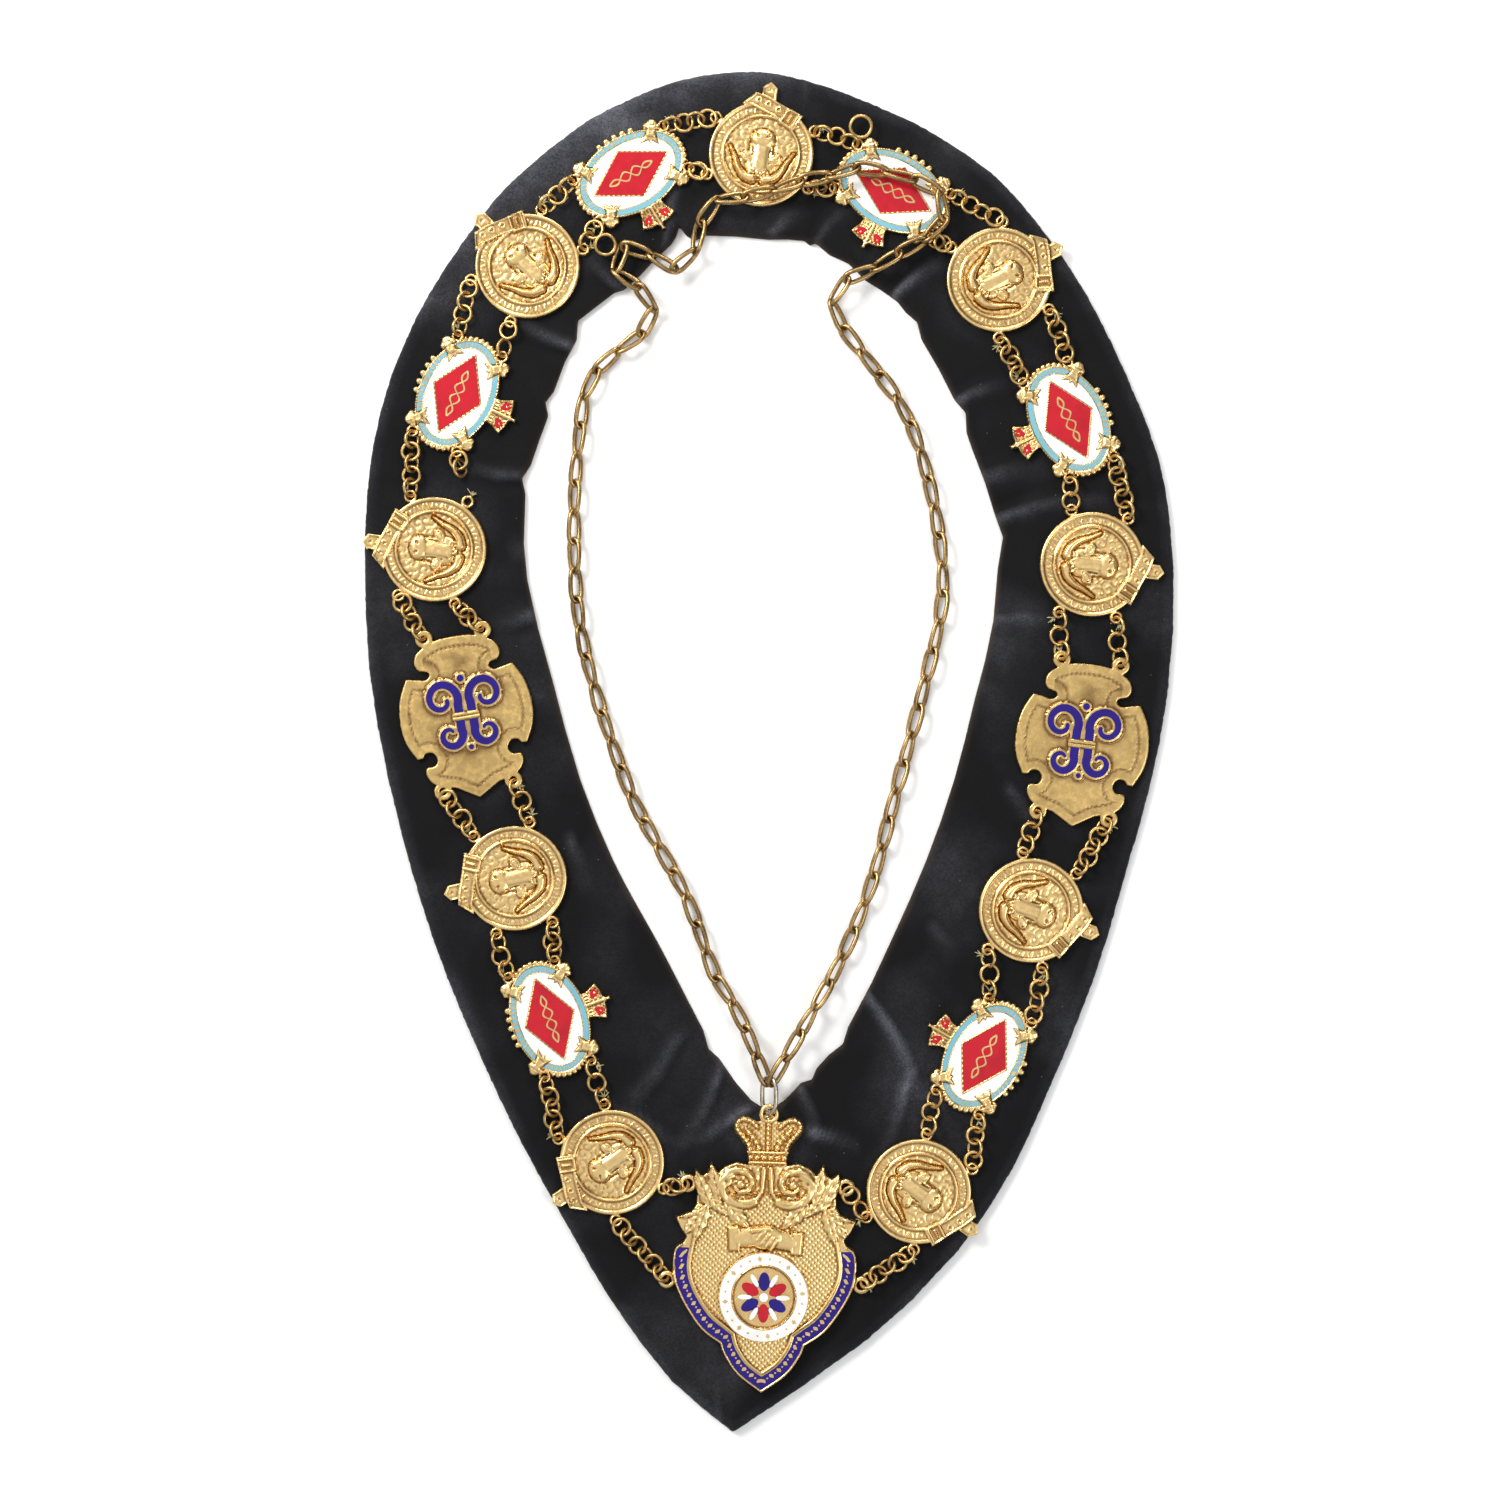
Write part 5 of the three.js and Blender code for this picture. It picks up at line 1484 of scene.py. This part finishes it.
makeRingRows()
for name, (x, y, radius) in looseRings.items():
    shell = ringShell(Vector((x, y, looseLevel)), Vector((1, 0, 0)), looseTilt, radius, rings["wire"])
    addPiece(f"loose_ring_{name}", joinShells(f"loose_{name}", [(shell, "ringBrass")]))
print("ring chains ready")


# nickel bail ring and the long-link neck chain
bail = {"length": 14, "width": 8.4, "wire": 1.6, "tilt": 45}
neck = {
    "pitch": 10.2, "width": 6.3, "wire": 1.7, "roll": 45, "fusion": 0.15, "hookGap": 1, "hookSide": 0.15,
    "sides": 8, "steps": 24, "onBadge": badgeLevel + 2.7 + 0.3,
}
neckRise = (neck["width"] - neck["wire"]) / 2 * math.sin(math.radians(neck["roll"])) + neck["wire"] / 2
neckLevels = [neckRise + 0.05, badgeLevel + neckRise, neck["onBadge"] + neckRise]
# percent of the half width and half length, and level 0 inside the collar, 1 on velvet, 2 on a badge
neckRoute = [
    (-7.9, -37.9, 0.6), (-12.9, -33.5, 0), (-16.6, -27.6, 0), (-20, -21.8, 0), (-33.6, -7.1, 0),
    (-37.3, -1.2, 0), (-42.3, 7.6, 0), (-47, 19.4, 0), (-48.2, 35.4, 0), (-47, 45.7, 0), (-44.5, 54.4, 0),
    (-36.3, 59.4, 0), (-29.5, 62.5, 0.2), (-28.6, 65.6, 0.7), (-31.6, 67.9, 1), (-37.2, 69.4, 1.05),
    (-38.2, 72.4, 1.1), (-35.2, 74.2, 1.1), (-30, 73, 1.1), (-24, 70.6, 1.1), (-18.8, 72.5, 1.05),
    (-17.1, 77, 1.05), (-14.5, 80.3, 1.3), (-9.4, 80.9, 2), (-2, 81.3, 2), (4.7, 83, 2), (15.3, 84.1, 2.1),
    (20, 85.3, 2), (32.4, 84.1, 2), (41, 82.3, 2), (43.6, 79, 2), (39.8, 75.5, 2), (33.1, 73.4, 1.5),
    (28.9, 71.6, 1.1), (23.2, 70.1, 1.15), (18, 68.8, 1), (15.3, 66.2, 0.6), (17.6, 62.8, 0),
    (25.7, 56.5, 0), (32.9, 50.6, 0), (37.6, 43.7, 0), (42, 31.6, 0), (42.8, 22.4, 0), (38.6, 10.6, 0),
    (30.7, -7.1, 0), (25.5, -18.8, 0), (17.6, -30.6, 0), (11, -37.6, 1),
]


def levelHeight(level):
    step = min(math.floor(level), 1)
    return neckLevels[step] + (neckLevels[step + 1] - neckLevels[step]) * (level - step)


# a smooth open line through the points, at equal lengths
def centripetal(points, samples):
    dense = []
    count = len(points)
    for k in range(count - 1):
        p1, p2 = points[k], points[k + 1]
        p0 = points[k - 1] if k else p1 * 2 - p2
        p3 = points[k + 2] if k + 2 < count else p2 * 2 - p1
        d0, d1, d2 = (max((a - b).length ** 0.5, 1e-4) for a, b in ((p1, p0), (p2, p1), (p3, p2)))
        m1 = ((p1 - p0) / d0 - (p2 - p0) / (d0 + d1) + (p2 - p1) / d1) * d1
        m2 = ((p2 - p1) / d1 - (p3 - p1) / (d1 + d2) + (p3 - p2) / d2) * d1
        for s in range(60):
            t = s / 60
            dense.append(p1 * (2 * t ** 3 - 3 * t ** 2 + 1) + m1 * (t ** 3 - 2 * t ** 2 + t)
                         + p2 * (3 * t ** 2 - 2 * t ** 3) + m2 * (t ** 3 - t ** 2))
    dense.append(points[-1])
    run = np.concatenate([[0], np.cumsum([(b - a).length for a, b in zip(dense, dense[1:])])])
    wanted = np.linspace(0, run[-1], samples(run[-1]) + 1)
    table = np.array([tuple(p) for p in dense])
    return [Vector(p) for p in zip(*(np.interp(wanted, run, table[:, axis]) for axis in range(3)))]


# one closed link: a long loop with round ends, turned a little from end to end
def ovalWire(centre, along, across, half, arc, wire, steps, sides, twist=0.0):
    line, normals = [], []
    for t in np.linspace(0, 2 * math.pi, steps, endpoint=False):
        u = math.copysign(abs(math.cos(t)) ** 0.75, math.cos(t)) * half
        v = math.copysign(abs(math.sin(t)) ** 0.75, math.sin(t)) * arc
        turn = twist * u / half
        side = across * math.cos(turn) + along.cross(across) * math.sin(turn)
        line.append(centre + along * u + side * v)
        normals.append(along.cross(side).normalized())
    return wireLoop(line, normals, wire, sides)


bailHalf, bailArc = (bail["length"] - bail["wire"]) / 2, (bail["width"] - bail["wire"]) / 2
bailCentre = jewelPlace @ eyeCentre + Vector((0, 0.3 + bailHalf, 0))
bailTilt = math.radians(bail["tilt"])
bailAcross = Vector((math.cos(bailTilt), 0, math.sin(bailTilt)))
bailShell = ovalWire(bailCentre, Vector((0, 1, 0)), bailAcross, bailHalf, bailArc, bail["wire"] / 2, 36, 12)
addPiece("bail_ring_nickel", joinShells("bail", [(bailShell, "nickel")]), ["bail_ring"])


def hookPoint(side):
    inset = bail["wire"] / 2 + neck["wire"] / 2 + neck["hookGap"] - (neck["wire"] - neck["fusion"]) / 2
    turn = side * (neck["wire"] / 2 + neck["hookSide"]) / bailArc
    reach = bailHalf - bailArc + (bailArc - inset) * math.cos(turn)
    return bailCentre + Vector((0, reach, 0)) + bailAcross * (bailArc * math.sin(turn))


def evenCount(run):
    return 2 * math.ceil(run / neck["pitch"] / 2)


def makeNeckChain():
    route = [percentPoint(x, y, levelHeight(level)) + shift for x, y, level in neckRoute]
    joints = centripetal([hookPoint(-1), *route, hookPoint(1)], evenCount)
    picker = random.Random(7)
    count = len(joints) - 1
    halves = ([], [])
    arc, wire = (neck["width"] - neck["wire"]) / 2, neck["wire"] / 2
    for k in range(count):
        a, b = joints[k], joints[k + 1]
        along = (b - a).normalized()
        side = along.cross(Vector((0, 0, 1))).normalized()
        up = side.cross(along)
        ends = k in (0, count - 1)
        lean = 180 - neck["roll"] if k % 2 else neck["roll"]
        roll = math.radians(lean + (0 if ends else picker.uniform(-6, 6)))
        across = side * math.cos(roll) - up * math.sin(roll)
        half = ((b - a).length + neck["wire"]) / 2
        twist = 0.0 if ends else math.radians(picker.uniform(8, 18))
        centre = (a + b) / 2
        shell = ovalWire(centre, along, across, half, arc, wire, neck["steps"], neck["sides"], twist)
        shell["points"][:, 2] += max(0, 0.02 - shell["points"][:, 2].min())
        halves[0 if k < count // 2 else 1].append((shell, "chainBrass"))
    return halves


leftLinks, rightLinks = makeNeckChain()
addPiece("neck_chain_left_links", joinShells("neck_left", leftLinks), ["neck_chain_left"])
addPiece("neck_chain_right_links", joinShells("neck_right", rightLinks), ["neck_chain_right"])
print("neck chain ready:", len(leftLinks) + len(rightLinks), "links")


# thread stitches that hold the chains to the velvet
threads = {"strands": 6, "length": 1.9, "wire": 0.3, "every": 2, "bend": 0.9, "arch": 1.1, "away": 2.6,
           "level": 3.6}


def strandShell(start, way, picker):
    bend = Vector((picker.uniform(-1, 1), picker.uniform(-1, 1), 0)) * threads["bend"]
    spine = []
    for t in (0, 0.33, 0.66, 1):
        arch = Vector((0, 0, threads["arch"] * math.sin(math.pi * t * 0.8)))
        spine.append(start + way * (threads["length"] * t) + bend * (t * t) + arch)
    points, faces, sides = [], [], 5
    for k, p in enumerate(spine):
        wire = threads["wire"] * (1 - 0.2 * k)
        side = Vector((-way.y, way.x, 0))
        for s in range(sides):
            turn = 2 * math.pi * s / sides
            points.append(tuple(p + side * (wire * math.cos(turn)) + Vector((0, 0, wire * math.sin(turn)))))
    for k in range(len(spine) - 1):
        for s in range(sides):
            t = (s + 1) % sides
            faces.append([k * sides + s, (k + 1) * sides + s, (k + 1) * sides + t, k * sides + t])
    faces.append(list(range(sides)))
    faces.append([(len(spine) - 1) * sides + s for s in reversed(range(sides))])
    return {"points": np.array(points), "faces": faces, "hollow": np.zeros(len(points))}


def makeStitches():
    picker = random.Random(31)
    shells = []
    for k, badge in enumerate(badges):
        for n, (lx, ly) in enumerate(kinds[badge["kind"]]["lugs"]):
            if (k + n) % threads["every"]:
                continue
            at = badge["place"] @ Vector((lx, ly, 0))
            out = (at - badge["place"].translation).normalized()
            at += out * threads["away"]
            at.z = threads["level"]
            for _ in range(threads["strands"]):
                turn = picker.uniform(-1.2, 1.2)
                way = Vector((out.x * math.cos(turn) - out.y * math.sin(turn),
                              out.x * math.sin(turn) + out.y * math.cos(turn), 0))
                shells.append((strandShell(at, way, picker), "thread"))
    return joinShells("stitches", shells)


addPiece("thread_stitches", makeStitches())
print("stitches ready")

total = 0
for thing in bpy.data.objects:
    if thing.type == "MESH" and not thing.hide_render:
        total += sum(len(p.vertices) - 2 for p in thing.data.polygons)
print("triangles:", total)
